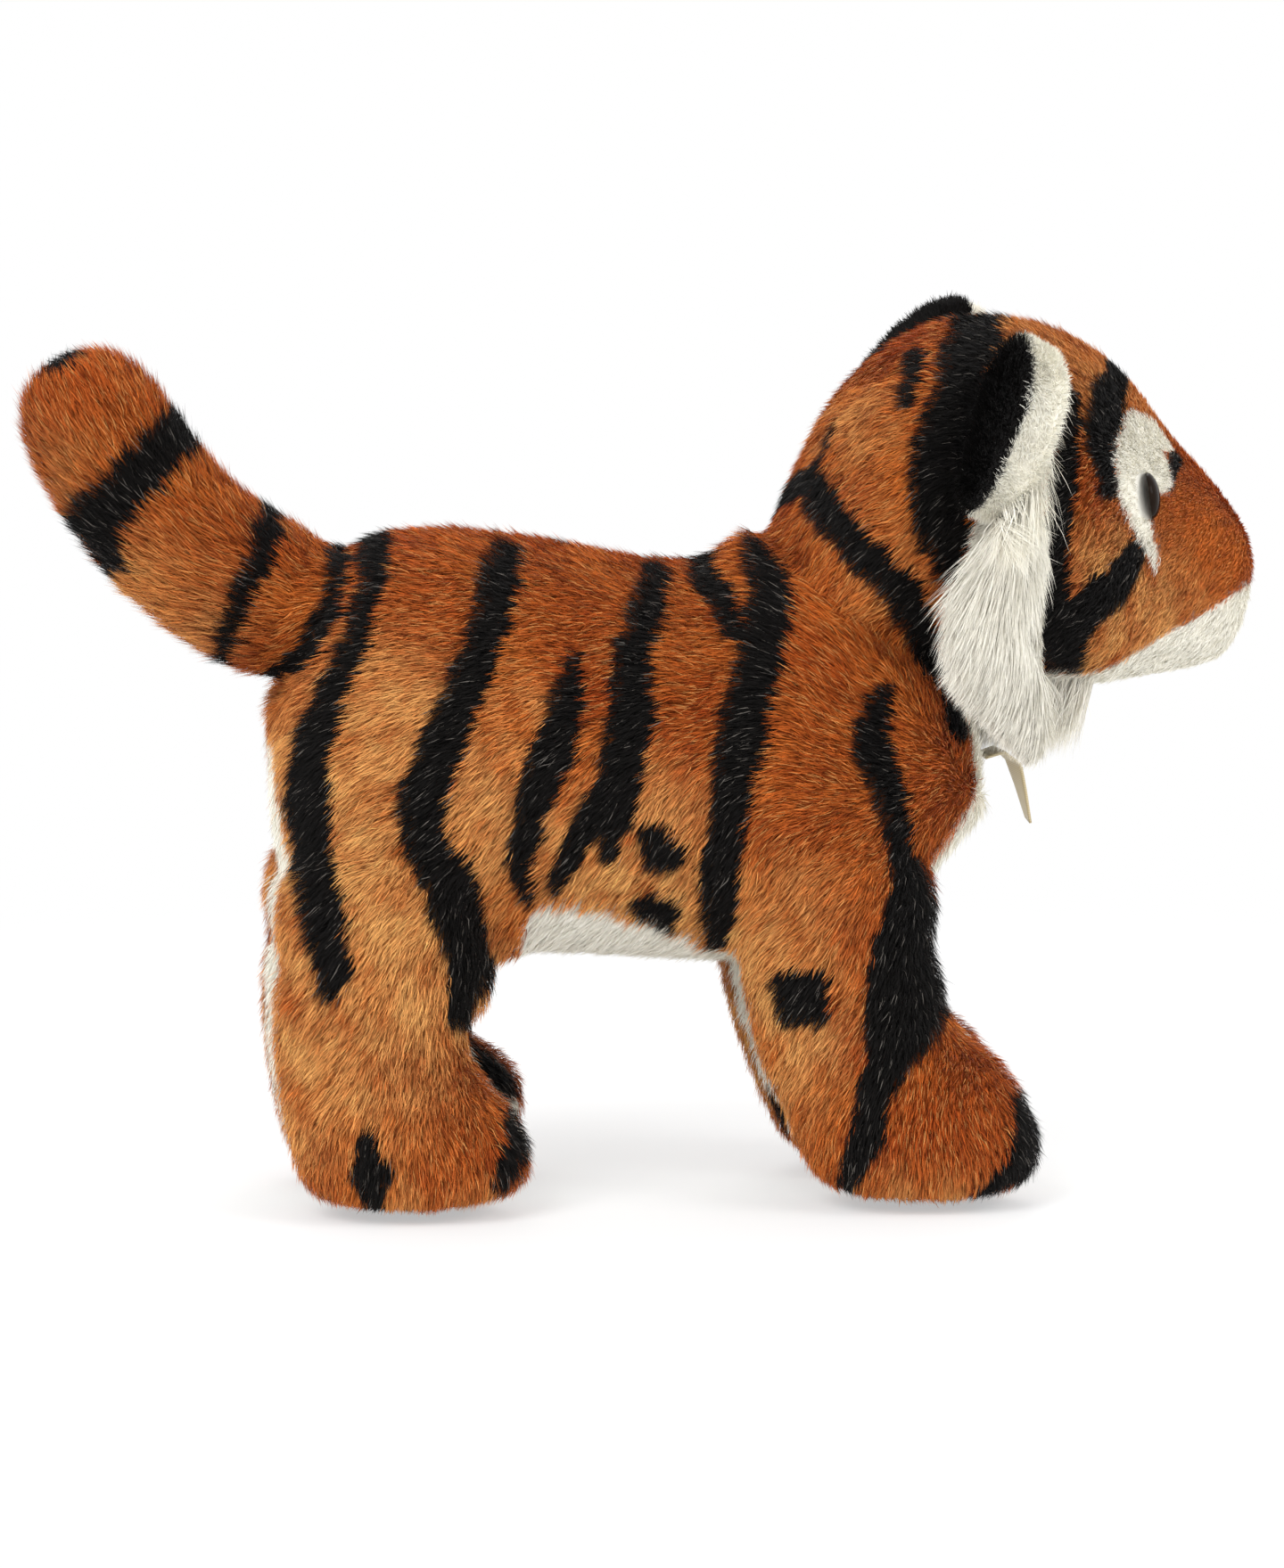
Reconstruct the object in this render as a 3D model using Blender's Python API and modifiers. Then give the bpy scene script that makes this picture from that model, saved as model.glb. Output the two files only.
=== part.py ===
"""A stuffed tiger cub that stands on four legs, as separate skins, stuffing cores and fittings.

The toy faces +X, its left side is +Y, and its soles stand on z = 0. Lengths are in metres.
Every stuffed form is a coarse cage of rings with subdivision. Limbs turn on balls in sockets
cut into the torso, and the head rides on a round neck dome, so a limb can swing without touching.
"""

import math

import bmesh
import bpy
from mathutils import Matrix, Vector

# Driving sizes of the torso
BODY_LENGTH = 0.180
BODY_HEIGHT = 0.104
BODY_WIDTH = 0.083
BELLY_Z = 0.0575
RUMP_X = -0.0925

# Skins, seams and clearances
SKIN = 0.0022
GAP = 0.0003
JOINT_GAP = 0.0003
OVERRUN = 0.02
SEAM = 0.0004

# Neck: the head rides on a dome round a point in the torso
NECK_X_SHARE = 0.6628
NECK_Z_SHARE = 0.4423
NECK_RADIUS_SHARE = 0.5529
NECK_RADIUS = NECK_RADIUS_SHARE * BODY_HEIGHT
NECK_LEAN_DEG = 41.0

# Head
HEAD_LENGTH = 0.108
HEAD_HEIGHT = 0.092
HEAD_WIDTH = 0.095
HEAD_SIDE = 0.0016
HEAD_AHEAD_SHARE = 1.0261
HEAD_ABOVE_SHARE = 1.1948
HEAD_TURN_DEG = 11.0
LIP_BACK_SHARES = (0.185, -0.473)
LIP_FRONT_SHARES = (0.583, -0.235)

# Legs
LEG_SPLIT = 0.009
LEG_WIDTH = 0.037
LEG_DEPTH = 0.053
FOOT_WIDTH = 0.040
FOOT_LENGTH = 0.060
HIP_X_SHARE = 0.1472
HIP_Z_SHARE = 0.1394
SHOULDER_X_SHARE = 0.7583
SHOULDER_Z_SHARE = 0.1587
SOLE = 0.0020
FOOT_SINK = 0.0025
LEG_SWING_DEG = 10.0

# Tail
TAIL_ROOT_X_SHARE = 0.1000
TAIL_ROOT_Z_SHARE = 0.8125
TAIL_RADIUS = 0.0198
TAIL_LENGTH = 0.0915
TAIL_MOUTH_SHARE = 1.04
TAIL_SWING_DEG = 20.0
SWING_MARGIN_DEG = 4.0

# Ears
EAR_HEIGHT = 0.054
EAR_REACH = 0.029
EAR_BASE = 0.036
EAR_LAYER = 0.0025
EAR_CUP = 0.010
EAR_SINK = 0.0030
EAR_CLEARANCE = 0.0008
EAR_FOLD_DEG = 25.0

# Cheek ruffs
RUFF_THICKNESS = 0.011

# Eyes, nose and their washers
EYE_RADIUS = 0.0058
EYE_DOME = 0.0036
EYE_SEAT = 0.0012
NOSE_WIDTH = 0.017
NOSE_HEIGHT = 0.011
NOSE_DOME = 0.0042
STEM_RADIUS = 0.0017
STEM_LENGTH = 0.0095
WASHER_RADIUS = 0.0052
WASHER_THICKNESS = 0.0012

# Ribbon under the chin
RIBBON_WIDTH = 0.012
RIBBON_REACH = 0.0095
RIBBON_DROP = 0.0155
RIBBON_THICKNESS = 0.0008

BODY_SIDES = 12
LIMB_SIDES = 8
LINING_SHARE = 0.950
END_PULL_SHARE = 0.45

# Torso rings: x from the rump by BODY_LENGTH, centre height and half height by BODY_HEIGHT,
# half width by BODY_WIDTH, lean in degrees, and how far the lower corners fill out
TORSO_SHARES = [
    (0.004, 0.505, 0.170, 0.180, 0.0, 0.00),
    (0.034, 0.525, 0.385, 0.370, 0.0, 0.06),
    (0.145, 0.552, 0.506, 0.490, 0.0, 0.12),
    (0.345, 0.535, 0.494, 0.500, 0.0, 0.06),
    (0.530, 0.484, 0.470, 0.494, 0.0, 0.06),
    (0.665, 0.478, 0.482, 0.494, 11.0, 0.12),
    (0.790, 0.592, 0.466, 0.494, 31.0, 0.06),
    (0.850, 0.735, 0.400, 0.470, 46.0, 0.00),
    (0.920, 0.850, 0.366, 0.430, 46.0, 0.00),
]

# Head rings from the nape to the muzzle: x by HEAD_LENGTH, centre height and half height by
# HEAD_HEIGHT, half width by HEAD_WIDTH, and how far the lower corners fill out
HEAD_SHARES = [
    (-0.500, -0.26, 0.100, 0.200, 0.00),
    (-0.420, -0.18, 0.270, 0.330, 0.00),
    (-0.320, -0.05, 0.390, 0.400, 0.00),
    (-0.100, 0.01, 0.500, 0.480, 0.04),
    (0.120, -0.02, 0.486, 0.475, 0.10),
    (0.225, -0.05, 0.460, 0.385, 0.12),
    (0.325, -0.08, 0.425, 0.270, 0.12),
    (0.465, -0.16, 0.330, 0.240, 0.12),
    (0.565, -0.22, 0.250, 0.215, 0.10),
    (0.598, -0.24, 0.150, 0.145, 0.00),
]

# Leg rings from inside the ball to the sole: height by the pivot's height, x offset from the
# pivot by LEG_DEPTH, and half depth and half width, by the leg's sizes above the ankle and by
# the foot's sizes below it
ANKLE_SHARE = 0.5
HIND_SHARES = [
    (1.02, 0.000, 0.450, 0.450),
    (0.78, -0.020, 0.485, 0.500),
    (0.56, -0.095, 0.415, 0.490),
    (0.37, 0.080, 0.495, 0.540),
    (0.17, 0.155, 0.505, 0.560),
    (0.00, 0.125, 0.370, 0.420),
]
FORE_SHARES = [
    (1.02, 0.000, 0.450, 0.450),
    (0.78, 0.040, 0.470, 0.500),
    (0.56, 0.135, 0.430, 0.490),
    (0.39, 0.360, 0.500, 0.540),
    (0.18, 0.445, 0.515, 0.560),
    (0.00, 0.440, 0.370, 0.420),
]

# Tail rings: way along, turn of the centreline above straight back in degrees, radius
TAIL_SHARES = [
    (0.00, 22.0, 0.940),
    (0.25, 20.0, 0.970),
    (0.50, 36.0, 0.960),
    (0.75, 54.0, 0.930),
    (0.95, 60.0, 0.860),
    (1.06, 60.0, 0.450),
]

# Cheek ruff rings in the head's frame: x, y and z by the head's own sizes, half width by
# HEAD_LENGTH and half thickness by RUFF_THICKNESS
RUFF_SHARES = [
    (-0.045, 0.455, 0.040, 0.045, 0.30),
    (-0.100, 0.480, -0.120, 0.100, 0.50),
    (-0.135, 0.460, -0.290, 0.115, 0.50),
    (-0.090, 0.410, -0.450, 0.100, 0.50),
    (-0.030, 0.370, -0.590, 0.065, 0.40),
    (0.000, 0.350, -0.680, 0.025, 0.20),
]

# The ribbon's run from its seam: outwards by RIBBON_REACH and down by RIBBON_DROP
RIBBON_SHARES = [(0.00, 0.00), (0.42, -0.08), (0.62, 0.10), (0.80, 0.50), (1.00, 1.00)]

# Where the fittings meet the head: directions from its centre, by its length, width and height
EYE_SHARES = (0.2620, 0.2900, 0.0120)
EYE_FACING_DEG = 33.0
EYE_TILT_DEG = 8.0
NOSE_SHARES = (0.5741, 0.0, -0.1467)
NOSE_TILT_DEG = 8.0
EAR_TOP_SHARES = (-0.0370, 0.2842, 0.3913)
EAR_FOOT_SHARES = (-0.1852, 0.4526, -0.0217)
EAR_OUTWARD = (-0.23, 0.85, 0.47)
RIBBON_AIM_DEG = 4.0

COLOURS = {
    "orange_pile": (0.55, 0.20, 0.05),
    "white_pile": (0.90, 0.88, 0.80),
    "black_pile": (0.02, 0.018, 0.016),
    "fibre": (0.85, 0.84, 0.80),
    "eye_plastic": (0.03, 0.015, 0.008),
    "nose_plastic": (0.25, 0.09, 0.07),
    "washer_plastic": (0.75, 0.75, 0.72),
    "ribbon_cloth": (0.80, 0.76, 0.62),
}
GLOSSY = {"eye_plastic": 0.08, "nose_plastic": 0.30, "washer_plastic": 0.45}


def clear_scene():
    for ob in list(bpy.data.objects):
        bpy.data.objects.remove(ob, do_unlink=True)


def new_collection(name):
    made = bpy.data.collections.new(name)
    bpy.context.scene.collection.children.link(made)
    return made


def new_material(name):
    made = bpy.data.materials.new(name)
    made.use_nodes = True
    shader = made.node_tree.nodes["Principled BSDF"]
    shader.inputs["Base Color"].default_value = (*COLOURS[name], 1.0)
    shader.inputs["Roughness"].default_value = GLOSSY.get(name, 0.9)
    shader.inputs["Metallic"].default_value = 0.0
    return made


clear_scene()
PARTS = new_collection("plush_tiger")
CUTTERS = new_collection("cutters")
MATERIALS = {name: new_material(name) for name in COLOURS}


def new_empty(name, matrix):
    """An empty on a joint's pivot, which carries the pieces that move with it."""
    made = bpy.data.objects.new(name, None)
    made.empty_display_size = SKIN
    made.matrix_world = matrix
    PARTS.objects.link(made)
    return made


def new_object(name, mesh, material=None, parent=None):
    """A part when it has a material, and otherwise a cutter."""
    made = bpy.data.objects.new(name, mesh)
    if material:
        PARTS.objects.link(made)
        mesh.materials.append(MATERIALS[material])
    else:
        CUTTERS.objects.link(made)
        made.hide_render = True
        made.display_type = "WIRE"
    if parent:
        made.parent = parent
        made.matrix_parent_inverse = parent.matrix_world.inverted()
    return made


def mesh_of(name, build):
    """A mesh made by build, which fills a bmesh."""
    mesh = bpy.data.meshes.new(name)
    bm = bmesh.new()
    build(bm)
    bmesh.ops.recalc_face_normals(bm, faces=bm.faces)
    for face in bm.faces:
        face.smooth = True
    bm.to_mesh(mesh)
    bm.free()
    return mesh


def ring_mesh(name, rings, sides, share, flat=False):
    """A closed mesh through rings of (centre, up, side, fill), where up and side are half sizes.

    With flat it has only triangles, so that two copies at different insets keep their distance.
    """

    def build(bm):
        loops = []
        for centre, up, side, fill in rings:
            loop = []
            for k in range(sides):
                turn = 2.0 * math.pi * k / sides
                corner = fill * math.sin(2.0 * turn) ** 2 if math.cos(turn) < 0.0 else 0.0
                reach = share * (1.0 + corner)
                loop.append(bm.verts.new(centre + reach * (math.cos(turn) * up + math.sin(turn) * side)))
            loops.append(loop)
        for one, two in zip(loops, loops[1:]):
            for k in range(sides):
                after = (k + 1) % sides
                bm.faces.new((one[k], one[after], two[after], two[k]))
        bm.faces.new(loops[0])
        bm.faces.new(loops[-1])
        if flat:
            bmesh.ops.triangulate(bm, faces=bm.faces)

    return mesh_of(name, build)


def pulled(rings, end):
    """The rings with one end moved towards its neighbour, as subdivision rounds the outside off."""
    moved = list(rings)
    centre, up, side, fill = rings[end]
    neighbour = rings[1 if end == 0 else end - 1][0]
    moved[end] = (centre.lerp(neighbour, END_PULL_SHARE), up, side, fill)
    return moved


class Cage:
    """The cage of a stuffed form: its soft outside, and a plainer inside for linings and cores."""

    def __init__(self, name, rings, sides, closed_ends=()):
        limit_share = 6.0 / (4.0 + 2.0 * math.cos(2.0 * math.pi / sides))
        self.outside = ring_mesh(f"{name}_outside", rings, sides, limit_share)
        for end in closed_ends:
            rings = pulled(rings, end)
        self.inside = ring_mesh(f"{name}_inside", rings, sides, LINING_SHARE, flat=True)

    def skin(self, name, material=None, parent=None, grow=0.0):
        made = new_object(name, self.outside.copy(), material, parent)
        subdivide(made, 1)
        if grow:
            offset(made, grow)
        return made

    def core(self, name, inset, material=None, parent=None):
        made = new_object(name, self.inside.copy(), material, parent)
        offset(made, -inset)
        return made


def subdivide(ob, levels):
    made = ob.modifiers.new("soft", "SUBSURF")
    made.levels = levels
    made.render_levels = levels


def offset(ob, distance):
    """Moves the surface along its normals: outwards for a clearance, inwards for a lining."""
    made = ob.modifiers.new("offset", "DISPLACE")
    made.mid_level = 0.0
    made.strength = distance


def boolean(ob, other, operation="DIFFERENCE"):
    made = ob.modifiers.new(other.name, "BOOLEAN")
    made.operation = operation
    made.solver = "EXACT"
    made.object = other


def ball(name, centre, radii, segments, material=None, parent=None):
    """A ball whose poles lie along Y, so its rings turn on the swing axis.

    Its rows are odd in number, so no ring lies in the mid plane, where a limb's own edges run.
    """

    def build(bm):
        rows = (segments // 2 - 1) | 1
        bmesh.ops.create_uvsphere(bm, u_segments=segments, v_segments=rows, radius=1.0)
        place = (
            Matrix.Translation(centre)
            @ Matrix.Diagonal((*radii, 1.0))
            @ Matrix.Rotation(math.radians(90.0), 4, "X")
        )
        bmesh.ops.transform(bm, matrix=place, verts=bm.verts)

    return new_object(name, mesh_of(name, build), material, parent)


def block(name, low, high, place=None, material=None, parent=None):
    """A box from its low corner to its high corner, in the frame that place gives."""

    def build(bm):
        bmesh.ops.create_cube(bm, size=1.0)
        low_corner, high_corner = Vector(low), Vector(high)
        fit = Matrix.Translation((low_corner + high_corner) / 2.0) @ Matrix.Diagonal(
            (*(high_corner - low_corner), 1.0)
        )
        bmesh.ops.transform(bm, matrix=(place or Matrix()) @ fit, verts=bm.verts)

    made = new_object(name, mesh_of(name, build), material, parent)
    for face in made.data.polygons:
        face.use_smooth = False
    return made


def cone(name, place, near_radius, far_radius, depth, width_share=1.0, segments=16):
    """A cone or a cylinder along +Z of place, from z = 0 to depth, narrowed along Y."""

    def build(bm):
        bmesh.ops.create_cone(
            bm, cap_ends=True, segments=segments, radius1=near_radius, radius2=far_radius, depth=depth
        )
        shift = Matrix.Diagonal((1.0, width_share, 1.0, 1.0)) @ Matrix.Translation((0.0, 0.0, depth / 2.0))
        bmesh.ops.transform(bm, matrix=place @ shift, verts=bm.verts)

    return mesh_of(name, build)


def frame_along(origin, forward, up_hint):
    """A frame at origin whose Z is forward and whose Y is near up_hint."""
    z = Vector(forward).normalized()
    x = Vector(up_hint).cross(z).normalized()
    y = z.cross(x)
    made = Matrix((x, y, z)).transposed().to_4x4()
    made.translation = origin
    return made


def surface_point(ob, origin, direction):
    """Where a ray from origin leaves ob's evaluated surface, in world space."""
    graph = bpy.context.evaluated_depsgraph_get()
    graph.update()
    found, place, _, _ = ob.evaluated_get(graph).ray_cast(Vector(origin), Vector(direction).normalized())
    return place


def report(name, pivot, axis):
    """Prints a joint's pivot and axis, which the part's record repeats."""
    print(name, "pivot", [round(c, 5) for c in pivot], "axis", [round(c, 5) for c in axis])


def torso_rings():
    rings = []
    for x, z, half_height, half_width, lean, fill in TORSO_SHARES:
        tilt = math.radians(lean)
        centre = in_body(x, z)
        up = Vector((-math.sin(tilt), 0.0, math.cos(tilt))) * half_height * BODY_HEIGHT
        rings.append((centre, up, Vector((0.0, half_width * BODY_WIDTH, 0.0)), fill))
    return rings


def in_body(x_share, z_share):
    """A point on the mid plane, by the torso's length and height."""
    return Vector((RUMP_X + x_share * BODY_LENGTH, 0.0, BELLY_Z + z_share * BODY_HEIGHT))


def in_head(shares):
    """A point or direction in the head's frame, by the head's sizes."""
    return Vector((shares[0] * HEAD_LENGTH, shares[1] * HEAD_WIDTH, shares[2] * HEAD_HEIGHT))


NECK = in_body(NECK_X_SHARE, NECK_Z_SHARE)
NECK_AXIS = Vector((math.sin(math.radians(NECK_LEAN_DEG)), 0.0, math.cos(math.radians(NECK_LEAN_DEG))))
HEAD_CENTRE = NECK + Vector(
    (HEAD_AHEAD_SHARE * NECK_RADIUS, HEAD_SIDE, HEAD_ABOVE_SHARE * NECK_RADIUS)
)
HEAD_PLACE = Matrix.Translation(HEAD_CENTRE) @ Matrix.Rotation(math.radians(HEAD_TURN_DEG), 4, "Z")


def head_rings():
    rings = []
    turn = HEAD_PLACE.to_3x3()
    for x, z, half_height, half_width, fill in HEAD_SHARES:
        centre = HEAD_PLACE @ in_head((x, 0.0, z))
        up = turn @ Vector((0.0, 0.0, half_height * HEAD_HEIGHT))
        rings.append((centre, up, turn @ Vector((0.0, half_width * HEAD_WIDTH, 0.0)), fill))
    return rings


def leg_rings(shares, pivot):
    """Rings from the ball down to the sole, which ends FOOT_SINK under the floor before it is cut."""
    rings = []
    for height, x, half_depth, half_width in shares:
        on_foot = height < ANKLE_SHARE
        depth = FOOT_LENGTH if on_foot else LEG_DEPTH
        width = FOOT_WIDTH if on_foot else LEG_WIDTH
        centre = Vector((pivot.x + x * LEG_DEPTH, pivot.y, pivot.z * height - FOOT_SINK * (1.0 - height)))
        half = Vector((half_depth * depth, 0.0, 0.0))
        side = Vector((0.0, half_width * width, 0.0))
        rings.append((centre, half, side, 0.0))
    return rings


TAIL_ROOT = in_body(TAIL_ROOT_X_SHARE, TAIL_ROOT_Z_SHARE)


def tail_direction(rise_deg):
    rise = math.radians(rise_deg)
    return Vector((-math.cos(rise), 0.0, math.sin(rise)))


def tail_rings():
    rings = []
    centre = TAIL_ROOT.copy()
    way_before = 0.0
    for way, rise, radius in TAIL_SHARES:
        along = tail_direction(rise)
        centre = centre + along * (way - way_before) * TAIL_LENGTH
        way_before = way
        up = Vector((0.0, 1.0, 0.0)).cross(along) * radius * TAIL_RADIUS
        rings.append((centre.copy(), up, Vector((0.0, radius * TAIL_RADIUS, 0.0)), 0.0))
    return rings


BALL_SEGMENTS = 16
CORE_SEGMENTS = 10
DOME_SEGMENTS = 32
NECK_PLANE_SHARE = 0.6
FLARE_SHARE = 0.90
MOUTH_SHARE = 0.80
FLARE_START_SHARE = 0.05


def neck_cutter(inset):
    """All that lies above the neck's plane and outside the neck dome, both moved in by inset."""
    place = frame_along(NECK, NECK_AXIS, (0.0, 1.0, 0.0))
    reach = 2.0 * NECK_RADIUS
    low = (-reach, -reach, NECK_PLANE_SHARE * NECK_RADIUS - inset)
    made = block(f"neck_cutter_{inset:.4f}", low, (reach, reach, reach), place)
    dome = ball(f"neck_dome_{inset:.4f}", NECK, (NECK_RADIUS - inset,) * 3, DOME_SEGMENTS)
    boolean(made, dome)
    return made


def hollow_radius(radius, segments):
    """The radius of a hollow whose flats still clear a ball with as many segments."""
    return (radius + JOINT_GAP) / math.cos(math.pi / segments)


class Socket:
    """A ball on a pivot, and the hollow in the torso that it swings in, with its flared mouth."""

    def __init__(self, name, pivot, radii, along, swing_deg, flare_depth, mouth_share):
        self.name = name
        self.pivot = pivot
        self.radii = radii
        depth = hollow_radius(radii[0], BALL_SEGMENTS)
        width = radii[1] + JOINT_GAP
        self.hollow = ball(f"{name}_socket", pivot, (depth, width, depth), BALL_SEGMENTS)
        start = frame_along(pivot + FLARE_START_SHARE * depth * along, along, (0.0, 1.0, 0.0))
        mouth = mouth_share * depth
        spread = flare_depth * math.tan(math.radians(swing_deg))
        flare = cone(f"{name}_flare", start, mouth, mouth + spread, flare_depth, width / depth)
        boolean(self.hollow, new_object(f"{name}_flare", flare), "UNION")

    def ball(self, inset=0.0):
        """The ball itself, or with an inset a plainer one inside it."""
        radii = tuple(radius - inset for radius in self.radii)
        segments = CORE_SEGMENTS if inset else BALL_SEGMENTS
        return ball(f"{self.name}_ball_{inset:.4f}", self.pivot, radii, segments)


# The white panel's plan: x from the rump by BODY_LENGTH, and half width by BODY_WIDTH
PANEL_SHARES = [(0.26, 0.16), (0.34, 0.37), (0.60, 0.34), (0.72, 0.22), (1.10, 0.25)]
PANEL_TOP_SHARE = 0.72


def belly_outline(name, grow):
    """The plan of the white panel: wide under the belly, narrow between the legs and on the chest."""

    def build(bm):
        stations = []
        for x, y in PANEL_SHARES:
            place = RUMP_X + x * BODY_LENGTH + (-grow if x == PANEL_SHARES[0][0] else 0.0)
            half = y * BODY_WIDTH + grow
            top = BELLY_Z + PANEL_TOP_SHARE * BODY_HEIGHT + grow
            corners = ((-half, 0.0), (half, 0.0), (half, top), (-half, top))
            stations.append([bm.verts.new((place, across, height)) for across, height in corners])
        bm.faces.new(stations[0])
        bm.faces.new(stations[-1])
        for one, two in zip(stations, stations[1:]):
            for k in range(4):
                after = (k + 1) % 4
                bm.faces.new((one[k], one[after], two[after], two[k]))

    return new_object(name, mesh_of(name, build))


def make_torso(root, sockets):
    cage = Cage("torso", torso_rings(), BODY_SIDES, closed_ends=(0,))
    lining = cage.core("torso_lining", SKIN)
    boolean(lining, neck_cutter(SKIN))
    panel = belly_outline("belly_outline", 0.0)
    panel_grown = belly_outline("belly_outline_grown", SEAM)

    skin = cage.skin("torso_skin", "orange_pile", root)
    belly = cage.skin("belly_panel", "white_pile", root)
    core = cage.core("torso_stuffing", SKIN + GAP, "fibre", root)
    neck = neck_cutter(0.0)
    boolean(skin, panel_grown)
    boolean(belly, panel, "INTERSECT")
    for piece, cutter in ((skin, neck), (belly, neck), (core, neck_cutter(SKIN + GAP))):
        for socket in sockets:
            boolean(piece, socket.hollow)
        boolean(piece, cutter)
    for piece in (skin, belly):
        boolean(piece, lining)


def make_legs(root):
    """Four legs on balls at the hips and shoulders, and the sockets that they need."""
    sockets = []
    centre_y = (LEG_SPLIT + FOOT_WIDTH) / 2.0
    floor_block = block(
        "floor_block",
        (-BODY_LENGTH, -BODY_WIDTH, -BODY_HEIGHT),
        (BODY_LENGTH, BODY_WIDTH, SOLE + GAP),
    )
    sole_block = block(
        "sole_block", (-BODY_LENGTH, -BODY_WIDTH, 0.0), (BODY_LENGTH, BODY_WIDTH, SOLE)
    )
    for end, joint, shares in (
        ("hind", in_body(HIP_X_SHARE, HIP_Z_SHARE), HIND_SHARES),
        ("front", in_body(SHOULDER_X_SHARE, SHOULDER_Z_SHARE), FORE_SHARES),
    ):
        for side, sign in (("left", 1.0), ("right", -1.0)):
            name = f"{end}_{side}"
            pivot = joint + Vector((0.0, sign * centre_y, 0.0))
            radii = (LEG_DEPTH / 2.0, LEG_WIDTH / 2.0, LEG_DEPTH / 2.0)
            socket = Socket(
                name,
                pivot,
                radii,
                Vector((0.0, 0.0, -1.0)),
                LEG_SWING_DEG + SWING_MARGIN_DEG,
                joint.z - BELLY_Z / 2.0,
                FLARE_SHARE,
            )
            sockets.append(socket)
            carrier = new_empty(f"{name}_pivot", Matrix.Translation(pivot))
            carrier.parent = root
            cage = Cage(name, leg_rings(shares, pivot), LIMB_SIDES)

            lining = cage.core(f"{name}_lining", SKIN)
            boolean(lining, socket.ball(SKIN), "UNION")
            skin = cage.skin(f"leg_skin_{name}", "orange_pile", carrier)
            boolean(skin, socket.ball(), "UNION")
            boolean(skin, lining)
            core = cage.core(f"leg_stuffing_{name}", SKIN + GAP, "fibre", carrier)
            boolean(core, socket.ball(SKIN + GAP), "UNION")
            for piece in (skin, core):
                boolean(piece, floor_block)
            sole = cage.skin(f"sole_{name}", "white_pile", carrier)
            boolean(sole, sole_block, "INTERSECT")
    return sockets


def make_tail(root):
    along = tail_direction(TAIL_SHARES[0][1])
    radii = (TAIL_RADIUS,) * 3
    swing = TAIL_SWING_DEG + SWING_MARGIN_DEG
    socket = Socket("tail", TAIL_ROOT, radii, along, swing, TAIL_RADIUS, TAIL_MOUTH_SHARE)
    carrier = new_empty("tail_pivot", Matrix.Translation(TAIL_ROOT))
    carrier.parent = root
    cage = Cage("tail", tail_rings(), LIMB_SIDES, closed_ends=(len(TAIL_SHARES) - 1,))
    reach = 2.0 * TAIL_RADIUS
    place = frame_along(TAIL_ROOT, -along, (0.0, 1.0, 0.0))
    low = (-reach, -reach, MOUTH_SHARE * TAIL_RADIUS)
    mouth = block("tail_mouth", low, (reach, reach, reach), place)

    lining = cage.core("tail_lining", SKIN)
    boolean(lining, socket.ball(SKIN), "UNION")
    skin = cage.skin("tail_skin", "orange_pile", carrier)
    boolean(skin, socket.ball(), "UNION")
    boolean(skin, lining)
    core = cage.core("tail_stuffing", SKIN + GAP, "fibre", carrier)
    boolean(core, socket.ball(SKIN + GAP), "UNION")
    for piece in (skin, core):
        boolean(piece, mouth)
    return socket


STUD_SEGMENTS = 16
STEM_SEGMENTS = 8


def rod(name, place, radius, depth, segments=16):
    """A cutter in the shape of a cylinder."""
    return new_object(name, cone(name, place, radius, radius, depth, segments=segments))


def stud(name, place, half_width, half_height, dome, material, parent):
    """A domed button with a stem along its back, and its washer. Its flat back is at place."""

    def build(bm):
        bmesh.ops.create_uvsphere(bm, u_segments=STUD_SEGMENTS, v_segments=STUD_SEGMENTS // 2, radius=1.0)
        low = [v for v in bm.verts if v.co.z < -SKIN]
        bmesh.ops.delete(bm, geom=low, context="VERTS")
        rim = [edge for edge in bm.edges if edge.is_boundary]
        bmesh.ops.holes_fill(bm, edges=rim)
        fit = place @ Matrix.Diagonal((half_width, half_height, dome, 1.0))
        bmesh.ops.transform(bm, matrix=fit, verts=bm.verts)

    made = new_object(name, mesh_of(name, build), material, parent)
    behind = place @ Matrix.Rotation(math.pi, 4, "X")
    sunk = behind @ Matrix.Translation((0.0, 0.0, -dome / 2.0))
    stem = rod(f"{name}_stem", sunk, STEM_RADIUS, STEM_LENGTH + dome / 2.0, STEM_SEGMENTS)
    boolean(made, stem, "UNION")

    start = behind @ Matrix.Translation((0.0, 0.0, SKIN + GAP))
    disc = cone(f"{name}_washer", start, WASHER_RADIUS, WASHER_RADIUS, WASHER_THICKNESS)
    washer = new_object(f"{name}_washer", disc, "washer_plastic", parent)
    before = behind @ Matrix.Translation((0.0, 0.0, -OVERRUN))
    hole = rod(f"{name}_hole", before, STEM_RADIUS + GAP, 2.0 * OVERRUN, STEM_SEGMENTS)
    boolean(washer, hole)
    return behind, hole


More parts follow.
